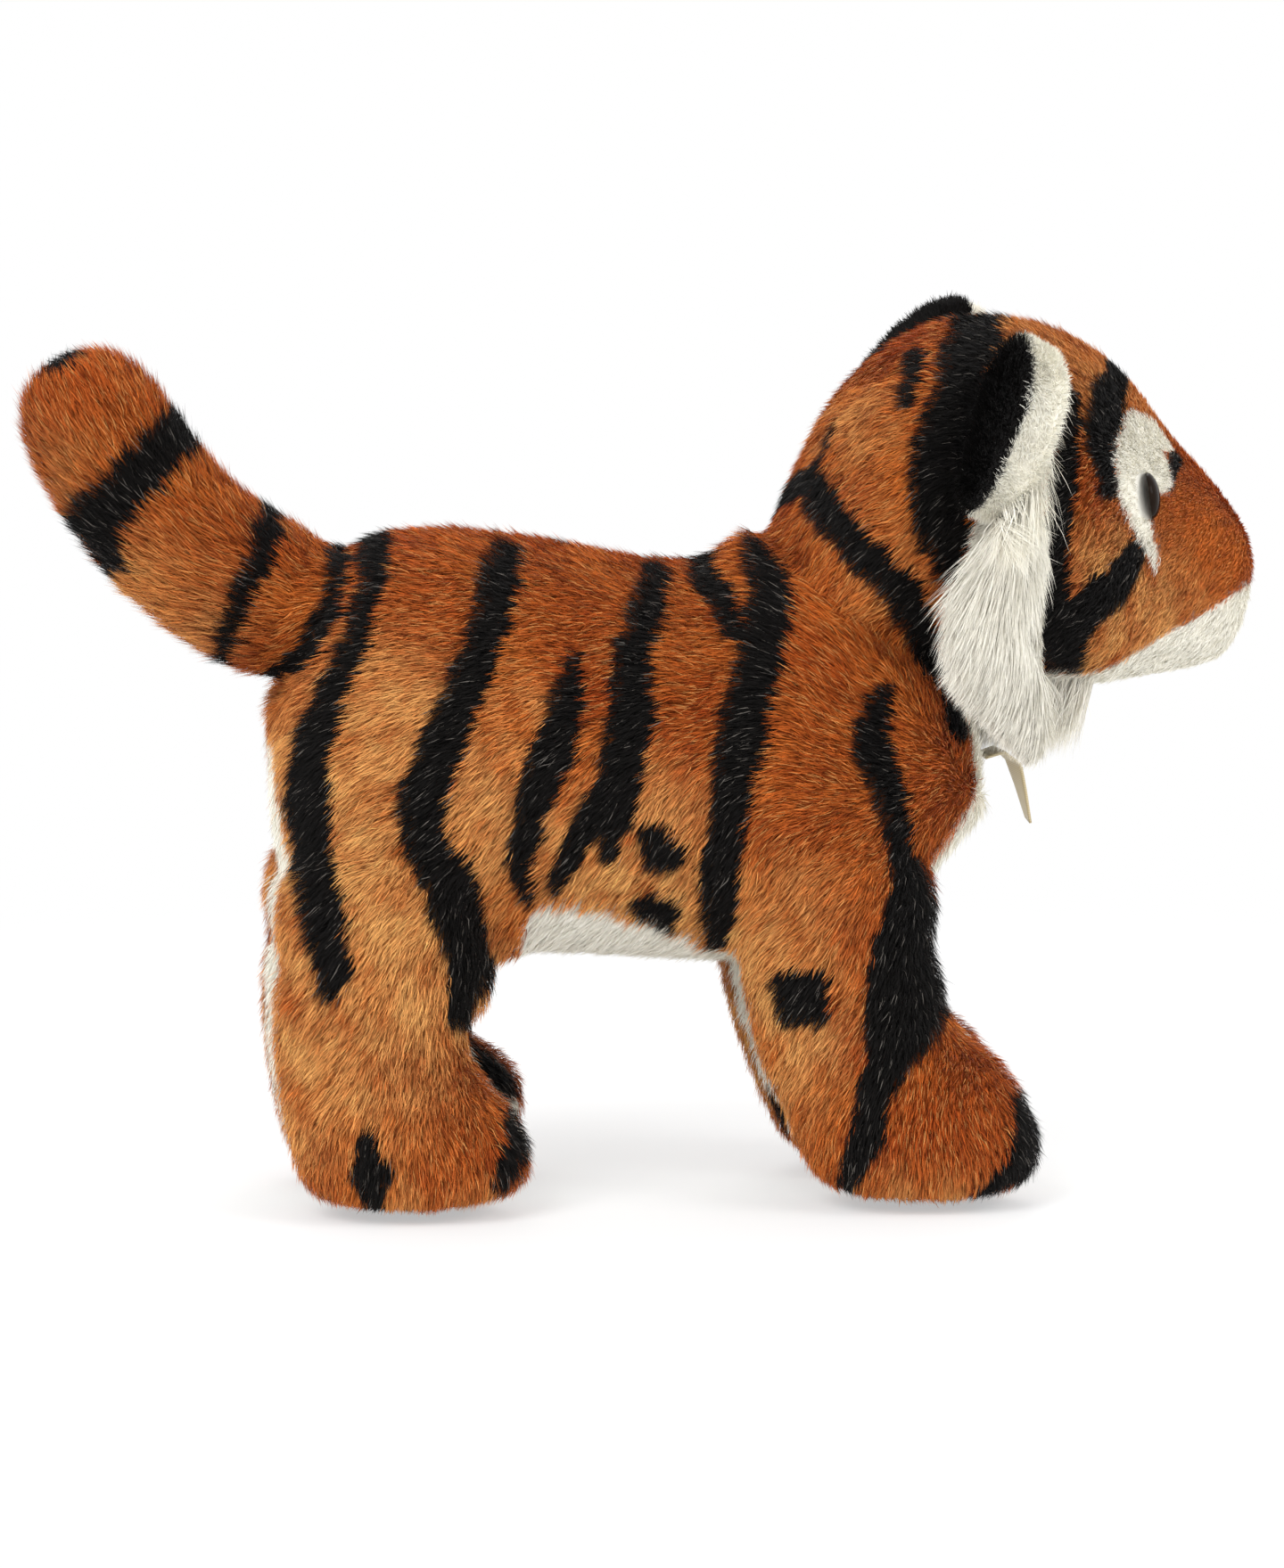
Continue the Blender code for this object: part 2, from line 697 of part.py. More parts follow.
def make_head(root):
    pivot = new_empty("neck_pivot", Matrix.Translation(NECK))
    pivot.parent = root
    cage = Cage("head", head_rings(), BODY_SIDES, closed_ends=(0, len(HEAD_SHARES) - 1))
    hollow = hollow_radius(hollow_radius(NECK_RADIUS, DOME_SEGMENTS) - JOINT_GAP, DOME_SEGMENTS)
    dome = ball("neck_hollow", NECK, (hollow,) * 3, DOME_SEGMENTS)
    lining = cage.core("head_lining", SKIN)
    outer = cage.skin("head_outer", grow=GAP)

    skin = cage.skin("head_skin", "orange_pile", pivot)
    lip = cage.skin("lip_panel", "white_pile", pivot)
    core = cage.core("head_stuffing", SKIN + GAP, "fibre", pivot)

    lip_back_x, lip_back_z = LIP_BACK_SHARES
    lip_back = in_head((lip_back_x, 0.0, lip_back_z))
    lip_front_x, lip_front_z = LIP_FRONT_SHARES
    lip_run = in_head((lip_front_x, 0.0, lip_front_z)) - lip_back
    slope = math.atan2(lip_run.z, lip_run.x)
    lip_place = HEAD_PLACE @ Matrix.Translation(lip_back) @ Matrix.Rotation(-slope, 4, "Y")
    low, high = (0.0, -HEAD_WIDTH, -HEAD_HEIGHT), (HEAD_LENGTH, HEAD_WIDTH, 0.0)
    lip_block = block("lip_block", low, high, lip_place)
    grown_low = (-SEAM, -HEAD_WIDTH, -HEAD_HEIGHT)
    lip_grown = block("lip_block_grown", grown_low, (HEAD_LENGTH, HEAD_WIDTH, SEAM), lip_place)
    boolean(skin, lip_grown)
    boolean(lip, lip_block, "INTERSECT")
    for piece in (skin, lip):
        boolean(piece, lining)
    for piece in (skin, lip, core):
        boolean(piece, dome)

    turn = HEAD_PLACE.to_3x3()
    centre = HEAD_PLACE.translation
    for side, sign in (("left", 1.0), ("right", -1.0)):
        make_eye(side, sign, outer, centre, turn, pivot, skin, core)
        make_ear(side, sign, outer, centre, turn, pivot, skin, core)
        make_ruff(side, sign, outer, dome, pivot)
    make_nose(outer, centre, turn, pivot, skin, core)


def seat_stud(name, place, half_width, half_height, dome, material, pivot, skin, core):
    """Sets a stud into the skin: a flat seat, a stem hole, and room for its washer in the core."""
    behind, hole = stud(name, place, half_width, half_height, dome, material, pivot)
    wide = half_width + GAP
    bottom = place @ Matrix.Translation((0.0, 0.0, -GAP))
    seat = cone(f"{name}_seat", bottom, wide, wide, OVERRUN, half_height / half_width)
    boolean(skin, new_object(f"{name}_seat", seat))
    boolean(skin, hole)
    boolean(core, rod(f"{name}_room", behind, WASHER_RADIUS + GAP, STEM_LENGTH + 2.0 * GAP))
    inner_face = behind @ Matrix.Translation((0.0, 0.0, SKIN))
    boolean(skin, rod(f"{name}_pocket", inner_face, WASHER_RADIUS + GAP, STEM_LENGTH))


def make_eye(side, sign, outer, centre, turn, pivot, skin, core):
    x, y, z = EYE_SHARES
    hit = surface_point(outer, centre, turn @ in_head((x, sign * y, z)))
    facing, tilt = math.radians(EYE_FACING_DEG), math.radians(EYE_TILT_DEG)
    out = turn @ Vector(
        (math.cos(facing) * math.cos(tilt), sign * math.sin(facing) * math.cos(tilt), math.sin(tilt))
    )
    place = frame_along(hit - EYE_SEAT * out, out, (0.0, 0.0, 1.0))
    seat_stud(
        f"eye_{side}", place, EYE_RADIUS, EYE_RADIUS, EYE_DOME, "eye_plastic", pivot, skin, core
    )


def make_nose(outer, centre, turn, pivot, skin, core):
    hit = surface_point(outer, centre, turn @ in_head(NOSE_SHARES))
    tilt = math.radians(NOSE_TILT_DEG)
    out = turn @ Vector((math.cos(tilt), 0.0, math.sin(tilt)))
    place = frame_along(hit - EYE_SEAT * out, out, (0.0, 0.0, 1.0))
    seat_stud(
        "nose", place, NOSE_WIDTH / 2.0, NOSE_HEIGHT / 2.0, NOSE_DOME, "nose_plastic", pivot, skin, core
    )


EAR_ROWS = 5
EAR_COLUMNS = 8
EAR_WIDEST_SHARE = 0.35
EAR_ROUND_SHARE = 0.70
EAR_BOW_SHARE = 0.15
EAR_CURL_SHARE = 0.5


def ear_point(place, along, out):
    """A point of the cupped mid surface, from its distances along and out from the base line."""
    along_share = along / (EAR_HEIGHT / 2.0)
    out_share = out / EAR_REACH
    cup = EAR_CUP * out_share * (EAR_CURL_SHARE * along_share**2 + out_share)
    return place @ Vector((along, out, cup))


def ear_layer(name, place, side, material, parent):
    """One layer of the ear: a grid from the base line outwards, solidified.

    With side 1 it lies behind the mid surface, and with side -1 in the hollow of the cup.
    """

    def build(bm):
        rows = []
        for i in range(EAR_ROWS + 1):
            share = i / EAR_ROWS
            widening = min(share / EAR_WIDEST_SHARE, 1.0)
            rounding = max(0.0, (share - EAR_WIDEST_SHARE) / (1.0 - EAR_WIDEST_SHARE))
            half = (EAR_BASE + (EAR_HEIGHT - EAR_BASE) * widening) / 2.0
            half = half * math.sqrt(1.0 - EAR_ROUND_SHARE * rounding**2)
            row = []
            for j in range(EAR_COLUMNS + 1):
                across = 2.0 * j / EAR_COLUMNS - 1.0
                out = share * EAR_REACH * (1.0 - EAR_BOW_SHARE * across**2)
                row.append(bm.verts.new(ear_point(place, across * half, out)))
            rows.append(row)
        for one, two in zip(rows, rows[1:]):
            for j in range(EAR_COLUMNS):
                bm.faces.new((one[j], one[j + 1], two[j + 1], two[j]))
        bmesh.ops.triangulate(bm, faces=bm.faces)
        bmesh.ops.recalc_face_normals(bm, faces=bm.faces)
        bm.normal_update()
        for vert in bm.verts:
            vert.co += side * GAP * vert.normal

    made = new_object(name, mesh_of(name, build), material, parent)
    shell = made.modifiers.new("layer", "SOLIDIFY")
    shell.thickness = EAR_LAYER
    shell.offset = side
    return made


def ear_wedge(name, place, half_width, slope, length):
    """The room that a folding ear sweeps above its base line."""

    def build(bm):
        reach = EAR_REACH / 2.0
        loops = []
        for end in (-length / 2.0, length / 2.0):
            corners = (
                (-half_width, 0.0),
                (half_width, 0.0),
                (half_width + reach * slope, reach),
                (-half_width - reach * slope, reach),
            )
            loops.append([bm.verts.new(place @ Vector((end, out, across))) for across, out in corners])
        bm.faces.new(loops[0])
        bm.faces.new(loops[1])
        for k in range(4):
            after = (k + 1) % 4
            bm.faces.new((loops[0][k], loops[0][after], loops[1][after], loops[1][k]))

    return new_object(name, mesh_of(name, build))


def make_ear(side, sign, outer, centre, turn, pivot, skin, core):
    """Two cupped layers on a straight base line, in a slot that leaves room to fold."""
    ends = []
    for x, y, z in (EAR_FOOT_SHARES, EAR_TOP_SHARES):
        ends.append(surface_point(outer, centre, turn @ in_head((x, sign * y, z))))
    foot, top = ends
    along = (top - foot).normalized()
    hint = turn @ Vector((EAR_OUTWARD[0], sign * EAR_OUTWARD[1], EAR_OUTWARD[2]))
    out = (hint - hint.dot(along) * along).normalized()
    forward = along.cross(out).normalized()
    if forward.dot(turn @ Vector((1.0, 0.0, 0.0))) < 0.0:
        forward = -forward
    crest = surface_point(outer, centre, (foot + top) / 2.0 - centre)
    middle = crest - EAR_SINK * out
    place = Matrix((along, out, forward)).transposed().to_4x4()
    place.translation = middle
    carrier = new_empty(f"ear_{side}_pivot", Matrix.Translation(middle))
    carrier.parent = pivot
    carrier.matrix_parent_inverse = pivot.matrix_world.inverted()

    ear_layer(f"ear_back_{side}", place, 1.0, "black_pile", carrier)
    ear_layer(f"ear_front_{side}", place, -1.0, "white_pile", carrier)

    half_root = EAR_LAYER + GAP
    length = EAR_BASE + 2.0 * EAR_LAYER
    end = place @ Matrix.Translation((-length / 2.0, 0.0, 0.0))
    start = end @ Matrix.Rotation(math.radians(90.0), 4, "Y")
    channel = rod(f"ear_{side}_channel", start, half_root + EAR_CLEARANCE, length)
    fold = math.radians(EAR_FOLD_DEG)
    opening = half_root / math.cos(fold) + EAR_CLEARANCE
    wedge = ear_wedge(f"ear_{side}_wedge", place, opening, math.tan(fold), length)
    for piece in (skin, core):
        boolean(piece, channel)
        boolean(piece, wedge)
    report(f"ear {side}", middle, along)


def make_ruff(side, sign, outer, dome, pivot):
    turn = HEAD_PLACE.to_3x3()
    rings = []
    for x, y, z, half_width, half_thickness in RUFF_SHARES:
        centre = HEAD_PLACE @ Vector((x * HEAD_LENGTH, sign * y * HEAD_WIDTH, z * HEAD_HEIGHT))
        wide = turn @ Vector((half_width * HEAD_LENGTH, 0.0, 0.0))
        thick = turn @ Vector((0.0, half_thickness * RUFF_THICKNESS, 0.0))
        rings.append((centre, wide, thick, 0.0))
    ruff = Cage(f"ruff_{side}", rings, LIMB_SIDES).skin(f"cheek_ruff_{side}", "white_pile", pivot)
    boolean(ruff, outer)
    boolean(ruff, dome)


def make_ribbon(root):
    """A strip sewn to the chest under the chin: it stands out a little and then hangs down."""
    aim = math.radians(RIBBON_AIM_DEG)
    root_point = NECK + NECK_RADIUS * Vector((math.cos(aim), 0.0, math.sin(aim)))
    carrier = new_empty("ribbon_pivot", Matrix.Translation(root_point))
    carrier.parent = root

    def build(bm):
        pairs = []
        for out, down in RIBBON_SHARES:
            middle = root_point + Vector((out * RIBBON_REACH, 0.0, -down * RIBBON_DROP))
            half = Vector((0.0, RIBBON_WIDTH / 2.0, 0.0))
            pairs.append((bm.verts.new(middle - half), bm.verts.new(middle + half)))
        for one, two in zip(pairs, pairs[1:]):
            bm.faces.new((one[0], one[1], two[1], two[0]))

    ribbon = new_object("chin_ribbon", mesh_of("chin_ribbon", build), "ribbon_cloth", carrier)
    strip = ribbon.modifiers.new("strip", "SOLIDIFY")
    strip.thickness = RIBBON_THICKNESS
    strip.offset = 0.0
    report("ribbon", root_point, (0.0, 1.0, 0.0))


def main():
    root = new_empty("tiger_root", Matrix())
    sockets = make_legs(root)
    sockets.append(make_tail(root))
    make_torso(root, sockets)
    make_head(root)
    make_ribbon(root)
    report("neck", NECK, NECK_AXIS)


main()
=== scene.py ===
"""Plush tiger: skins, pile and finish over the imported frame."""
import math

import bmesh
import bpy
import numpy as np
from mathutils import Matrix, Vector
from mathutils.kdtree import KDTree


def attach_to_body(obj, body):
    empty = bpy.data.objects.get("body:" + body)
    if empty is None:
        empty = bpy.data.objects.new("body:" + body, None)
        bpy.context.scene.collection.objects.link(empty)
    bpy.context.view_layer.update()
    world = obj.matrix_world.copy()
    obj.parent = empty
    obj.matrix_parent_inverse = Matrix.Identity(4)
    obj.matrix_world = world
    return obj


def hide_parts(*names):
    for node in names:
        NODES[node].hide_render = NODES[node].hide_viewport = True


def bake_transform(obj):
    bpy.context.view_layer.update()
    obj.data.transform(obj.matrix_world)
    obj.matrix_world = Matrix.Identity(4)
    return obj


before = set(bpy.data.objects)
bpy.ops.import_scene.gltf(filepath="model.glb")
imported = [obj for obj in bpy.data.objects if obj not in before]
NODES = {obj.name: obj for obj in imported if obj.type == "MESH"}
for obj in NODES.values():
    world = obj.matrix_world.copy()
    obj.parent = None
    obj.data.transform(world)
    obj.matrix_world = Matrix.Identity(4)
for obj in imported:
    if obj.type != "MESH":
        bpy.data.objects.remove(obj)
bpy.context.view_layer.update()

# Camera, in metres and degrees. The picture is taken as 1440 by 1759.
PICTURE = (1440.0, 1759.0)
VIEW_AZIMUTH, VIEW_ELEVATION = -6.0, 7.5
VIEW_DISTANCE = 1.75
VIEW_TARGET = Vector((0.0, 0.0, 0.1015))
FOCAL_PIXELS = 4567.0 * VIEW_DISTANCE
SENSOR = 36.0

# Frame of the head and the seams, as in the CAD source
HEAD_PLACE = Vector((0.0858, 0.0016, 0.1722))
HEAD_TURN = math.radians(11.0)
NECK_LEAN = math.radians(41.0)
NECK_AXIS = Vector((math.sin(NECK_LEAN), 0.0, math.cos(NECK_LEAN)))
NECK_START, NECK_END = 0.141, 0.152
TAIL_ROOT = Vector((-0.0745, 0.0, 0.142))
TAIL_WAY = Vector((-0.94, 0.0, 0.34)).normalized()
TAIL_START, TAIL_END = 0.013, 0.030
LEG_START_Z, LEG_END_Z = 0.054, 0.036
LEG_SPLIT_X = 0.0

SKIN_VOXEL = 0.0022
SKIN_INSET = 0.0016
FOOT_ROUND, FOOT_ROUND_HEIGHT, FOOT_LOW = 0.0032, 0.014, 0.0010


def view_axes():
    """The camera's right, up and back vectors."""
    a, e = math.radians(VIEW_AZIMUTH), math.radians(VIEW_ELEVATION)
    back = Vector((math.sin(a) * math.cos(e), -math.cos(a) * math.cos(e), math.sin(e)))
    right = Vector((math.cos(a), math.sin(a), 0.0))
    return right, back.cross(right), back


def to_picture(points):
    """Points in the row frame to picture positions, for placing marks."""
    right, up, back = (np.array(v) for v in view_axes())
    seen = points - (np.array(VIEW_TARGET) + VIEW_DISTANCE * back)
    depth = -(seen @ back)
    return np.stack(
        [
            PICTURE[0] / 2 + FOCAL_PIXELS * (seen @ right) / depth,
            PICTURE[1] / 2 - FOCAL_PIXELS * (seen @ up) / depth,
        ],
        axis=1,
    )


def head_local(points):
    c, s = math.cos(HEAD_TURN), math.sin(HEAD_TURN)
    q = points - np.array(HEAD_PLACE)
    return np.stack([c * q[:, 0] + s * q[:, 1], -s * q[:, 0] + c * q[:, 1], q[:, 2]], axis=1)


def head_turned(ways):
    c, s = math.cos(HEAD_TURN), math.sin(HEAD_TURN)
    return np.stack([c * ways[:, 0] - s * ways[:, 1], s * ways[:, 0] + c * ways[:, 1], ways[:, 2]], axis=1)


def head_world(local):
    return head_turned(local) + np.array(HEAD_PLACE)


# Meshes as numpy arrays


def points_of(mesh):
    co = np.zeros(len(mesh.vertices) * 3, np.float32)
    mesh.vertices.foreach_get("co", co)
    return co.reshape(-1, 3).astype(float)


def normals_of(mesh):
    no = np.zeros(len(mesh.vertices) * 3, np.float32)
    mesh.vertex_normals.foreach_get("vector", no)
    return no.reshape(-1, 3).astype(float)


def edges_of(mesh):
    e = np.zeros(len(mesh.edges) * 2, np.int32)
    mesh.edges.foreach_get("vertices", e)
    return e.reshape(-1, 2)


def triangles_of(mesh):
    mesh.calc_loop_triangles()
    t = np.zeros(len(mesh.loop_triangles) * 3, np.int32)
    mesh.loop_triangles.foreach_get("vertices", t)
    return t.reshape(-1, 3)


def set_points(mesh, co):
    mesh.vertices.foreach_set("co", co.astype(np.float32).ravel())
    mesh.update()


def new_object(name, mesh):
    obj = bpy.data.objects.new(name, mesh)
    bpy.context.scene.collection.objects.link(obj)
    return obj


def joined(name, nodes):
    """A new mesh with the solids of these CAD nodes."""
    bm = bmesh.new()
    for node in nodes:
        bm.from_mesh(NODES[node].data)
    mesh = bpy.data.meshes.new(name)
    bm.to_mesh(mesh)
    bm.free()
    return mesh


def remeshed(mesh, voxel, name):
    obj = new_object(name + "_raw", mesh)
    mod = obj.modifiers.new("remesh", "REMESH")
    mod.mode = "VOXEL"
    mod.voxel_size = voxel
    mod.use_smooth_shade = True
    graph = bpy.context.evaluated_depsgraph_get()
    made = bpy.data.meshes.new_from_object(obj.evaluated_get(graph))
    bpy.data.objects.remove(obj)
    made.name = name
    return made


def outer_shell(mesh):
    """Keeps the connected part with the largest box."""
    edges = edges_of(mesh)
    label = np.arange(len(mesh.vertices))
    while True:
        low = np.minimum(label[edges[:, 0]], label[edges[:, 1]])
        new = label.copy()
        np.minimum.at(new, edges[:, 0], low)
        np.minimum.at(new, edges[:, 1], low)
        new = new[new]
        if (new == label).all():
            break
        label = new
    co = points_of(mesh)
    best = max(np.unique(label), key=lambda k: np.ptp(co[label == k], axis=0).sum())
    bm = bmesh.new()
    bm.from_mesh(mesh)
    bm.verts.ensure_lookup_table()
    bmesh.ops.delete(bm, geom=[bm.verts[int(k)] for k in np.nonzero(label != best)[0]], context="VERTS")
    bm.to_mesh(mesh)
    bm.free()


def relax(co, edges, steps, grow=-0.53, shrink=0.5):
    """Smooths without shrinking."""
    count = np.bincount(edges.ravel(), minlength=len(co))[:, None]
    for step in range(steps * 2):
        total = np.zeros_like(co)
        np.add.at(total, edges[:, 0], co[edges[:, 1]])
        np.add.at(total, edges[:, 1], co[edges[:, 0]])
        co = co + (shrink if step % 2 == 0 else grow) * (total / count - co)
    return co


# Marks, placed on the near side as picture positions with a width, and mirrored to the far side
BODY_STRIPES = [
    [(97, 400, 26), (70, 428, 22)],
    [(208, 494, 54), (165, 540, 64), (124, 592, 56), (142, 640, 24)],
    [(110, 575, 34), (98, 596, 24)],
    [(313, 578, 32), (302, 630, 32), (277, 690, 28), (265, 736, 22)],
    [(392, 628, 28), (386, 680, 30), (352, 730, 28), (314, 758, 20)],
    [(434, 592, 34), (432, 646, 32), (411, 717, 34), (386, 771, 36), (364, 830, 46), (351, 890, 56)],
    [(351, 890, 56), (362, 960, 48), (370, 1030, 50), (380, 1075, 48), (374, 1106, 26)],
    [(574, 636, 46), (564, 674, 50), (550, 728, 46), (524, 786, 46), (502, 838, 52), (484, 884, 56)],
    [(484, 884, 56), (484, 930, 54), (506, 975, 66), (521, 1022, 62), (526, 1070, 50), (518, 1134, 26)],
    [(655, 742, 18), (643, 797, 46), (626, 846, 52), (604, 900, 40), (592, 952, 38), (597, 998, 18)],
    [(748, 652, 34), (731, 690, 44), (719, 740, 46), (717, 797, 50), (707, 851, 52), (694, 905, 46),
     (688, 952, 20)],
    [(692, 868, 34), (662, 926, 34), (632, 984, 20)],
    [(800, 632, 34), (806, 655, 36), (824, 676, 36), (830, 712, 20)],
    [(866, 618, 44), (876, 675, 54), (867, 725, 56), (848, 790, 56), (836, 847, 58), (824, 904, 50)],
    [(824, 904, 50), (815, 962, 46), (814, 1016, 42), (812, 1056, 18)],
    [(742, 932, 42), (752, 950, 46)],
    [(736, 1010, 36), (754, 1018, 36)],
    [(888, 1096, 34), (924, 1098, 36), (918, 1128, 36), (890, 1124, 34), (906, 1112, 40)],
    [(998, 786, 26), (984, 826, 44), (994, 868, 40), (1010, 915, 36), (1014, 970, 34),
     (1021, 1012, 52)],
    [(1021, 1012, 52), (1020, 1056, 84), (1022, 1100, 92), (1012, 1146, 76), (998, 1184, 52),
     (984, 1222, 42)],
    [(984, 1222, 42), (975, 1270, 40), (950, 1318, 22)],
    [(1140, 1228, 26), (1149, 1264, 38), (1143, 1300, 34), (1102, 1330, 20)],
    [(414, 1272, 22), (417, 1310, 46), (424, 1348, 18)],
    [(566, 1238, 20), (573, 1275, 34), (560, 1312, 28)],
    [(484, 592, 14), (538, 592, 14)],
    [(606, 604, 13), (652, 612, 13)],
    [(1030, 690, 40), (1058, 745, 46), (1076, 790, 46), (1080, 826, 26)],
]
HEAD_STRIPES = [
    [(946, 440, 22), (924, 482, 28), (912, 530, 38), (940, 574, 44), (978, 618, 44), (1012, 648, 44)],
    [(1012, 648, 44), (1036, 694, 44), (1052, 742, 42)],
    [(1112, 390, 40), (1085, 430, 50), (1067, 480, 62), (1061, 530, 72), (1063, 585, 66),
     (1074, 628, 40)],
    [(1130, 352, 30), (1100, 368, 40), (1080, 398, 36), (1074, 430, 24)],
    [(1036, 402, 24), (1026, 442, 26)],
    [(1262, 410, 24), (1246, 446, 38), (1238, 496, 38), (1246, 548, 20)],
    [(1206, 452, 20), (1200, 510, 30), (1190, 574, 38), (1180, 628, 46), (1183, 679, 60),
     (1198, 722, 58)],
    [(1198, 722, 58), (1208, 760, 34)],
    [(1276, 614, 26), (1254, 650, 40), (1216, 688, 46)],
    [(1321, 498, 12), (1318, 520, 15), (1314, 546, 10)],
    [(1289, 530, 8), (1283, 556, 10), (1290, 586, 7)],
]
HEAD_WHITE = [
    [(1272, 476, 22), (1294, 490, 30), (1314, 500, 18)],
    [(1270, 500, 36), (1290, 520, 40), (1304, 540, 26)],
    [(1268, 520, 32), (1272, 556, 30), (1282, 590, 20), (1294, 618, 13), (1298, 634, 5)],
    [(1118, 590, 40), (1112, 640, 56), (1122, 720, 56)],
]
# Top edge of the white belly as it shows between the legs, and the white areas' half widths
BELLY_EDGE = [
    (586, 1086), (594, 1032), (606, 1008), (640, 1006), (690, 1018), (740, 1031), (790, 1050), (818, 1084),
]
FACE_MIDDLE = 0.0085
UNDERSIDE_HALF, UNDERSIDE_TOP = 0.020, 0.074
CHEST_HALF, CHEST_BACK, CHEST_TOP = 0.0200, 0.050, 0.135
SEAT_HEIGHTS = (0.054, 0.075, 0.100, 0.116)
SEAT_HALVES = (0.0235, 0.0205, 0.0150, 0.0090)
SEAT_FRONT, SEAT_TOP = -0.070, 0.116
LEG_INNER, LEG_INNER_LOW = {"hind": 0.0235, "front": 0.0215}, 0.013

# Black marks on the legs' inner sides and the rear edge of the front legs' white,
# as they show on the far legs
INNER_MARKS = [
    [(524, 1150, 44), (546, 1172, 50), (568, 1204, 44)],
    [(803, 1080, 26), (806, 1150, 22)],
    [(856, 1220, 32), (876, 1285, 34)],
    [(912, 1312, 18), (916, 1332, 18)],
]
INNER_EDGE = [(822, 1080), (842, 1160), (862, 1224), (880, 1260), (918, 1320), (940, 1350)]

# Where the pile is golden tan instead of rust: picture position, reach and strength
BODY_TAN = [
    (330, 850, 60, 1.0), (430, 850, 90, 0.9), (440, 960, 110, 1.0), (430, 1080, 110, 0.9),
    (350, 1180, 80, 0.8), (430, 1220, 60, 0.5),
    (500, 1110, 60, 0.6), (640, 950, 60, 0.5), (700, 985, 70, 1.0), (770, 990, 60, 1.0),
    (560, 880, 45, 0.5),
    (850, 1060, 60, 0.8), (880, 1170, 60, 0.8), (910, 1000, 50, 0.4), (720, 880, 40, 0.5),
    (330, 1270, 50, 0.5), (450, 1352, 34, 0.6), (540, 1352, 30, 0.6), (1000, 1350, 40, 0.7),
    (1080, 1352, 36, 0.7),
    (440, 790, 60, 0.9), (350, 1000, 60, 0.7), (600, 800, 35, 0.45), (580, 930, 40, 0.7),
    (760, 900, 40, 0.5),
    (520, 1120, 40, 0.7), (300, 900, 60, 0.7), (880, 1120, 60, 0.8), (60, 540, 50, 0.35),
    (215, 700, 60, 0.6), (160, 660, 50, 0.7), (860, 1240, 50, 0.8),
]
# Where it is deepest rust
BODY_RUST = [
    (500, 1215, 56, 0.9), (1075, 1245, 66, 0.9), (660, 700, 60, 0.6), (500, 640, 50, 0.5),
    (930, 740, 60, 0.5),
    (120, 450, 60, 0.5), (960, 1040, 40, 0.5),
]
HEAD_TAN = [
    (1245, 620, 40, 0.8), (1265, 700, 50, 0.9), (1300, 660, 50, 0.5), (990, 600, 40, 0.4),
    (1150, 700, 50, 0.8),
    (1240, 740, 40, 0.8), (1010, 660, 40, 0.7), (970, 470, 50, 0.55), (1150, 372, 50, 0.6),
    (1220, 420, 50, 0.6), (1290, 460, 36, 0.6), (1330, 690, 50, 0.25),
]

RUST = np.array((0.36, 0.062, 0.008))
ORANGE = np.array((0.55, 0.142, 0.022))
TAN = np.array((0.74, 0.370, 0.115))
WHITE = np.array((0.91, 0.88, 0.785))
BLACK = np.array((0.005, 0.0042, 0.0038))
GREY_HAIR = (0.15, 0.135, 0.12)


def waves(points, scale, seed, count=9):
    """Smooth noise from -1 to 1 with features about this size."""
    rng = np.random.default_rng(seed)
    way = rng.normal(size=(count, 3))
    way /= np.linalg.norm(way, axis=1)[:, None]
    way *= (2 * math.pi / scale) * rng.uniform(0.6, 1.4, (count, 1))
    phase = rng.uniform(0, 2 * math.pi, count)
    return np.sin(points @ way.T + phase).sum(axis=1) / math.sqrt(count * 0.5) * 0.5


def distance_to(places, marks):
    """Distance from each picture position to the nearest mark's edge, negative inside it."""
    best = np.full(len(places), 1e9)
    for mark in marks:
        for (ax, ay, aw), (bx, by, bw) in zip(mark, mark[1:]):
            a, run = np.array((ax, ay), float), np.array((bx - ax, by - ay), float)
            t = np.clip(((places - a) @ run) / max(run @ run, 1e-9), 0, 1)
            gap = np.linalg.norm(places - a - t[:, None] * run, axis=1) - 0.5 * (aw + t * (bw - aw))
            best = np.minimum(best, gap)
    return best


def blobs(places, spots):
    left = np.ones(len(places))
    for x, y, reach, strength in spots:
        away = ((places - (x, y)) ** 2).sum(axis=1) / reach**2
        left *= 1 - strength * np.exp(-away)
    return 1 - left


def step(value, low, high):
    t = np.clip((value - low) / (high - low), 0, 1)
    return t * t * (3 - 2 * t)


def near_side(points, part):
    if part == "head":
        local = head_local(points)
        local[:, 1] = -np.abs(local[:, 1])
        return head_world(local)
    near = points.copy()
    near[:, 1] = -np.abs(near[:, 1])
    return near


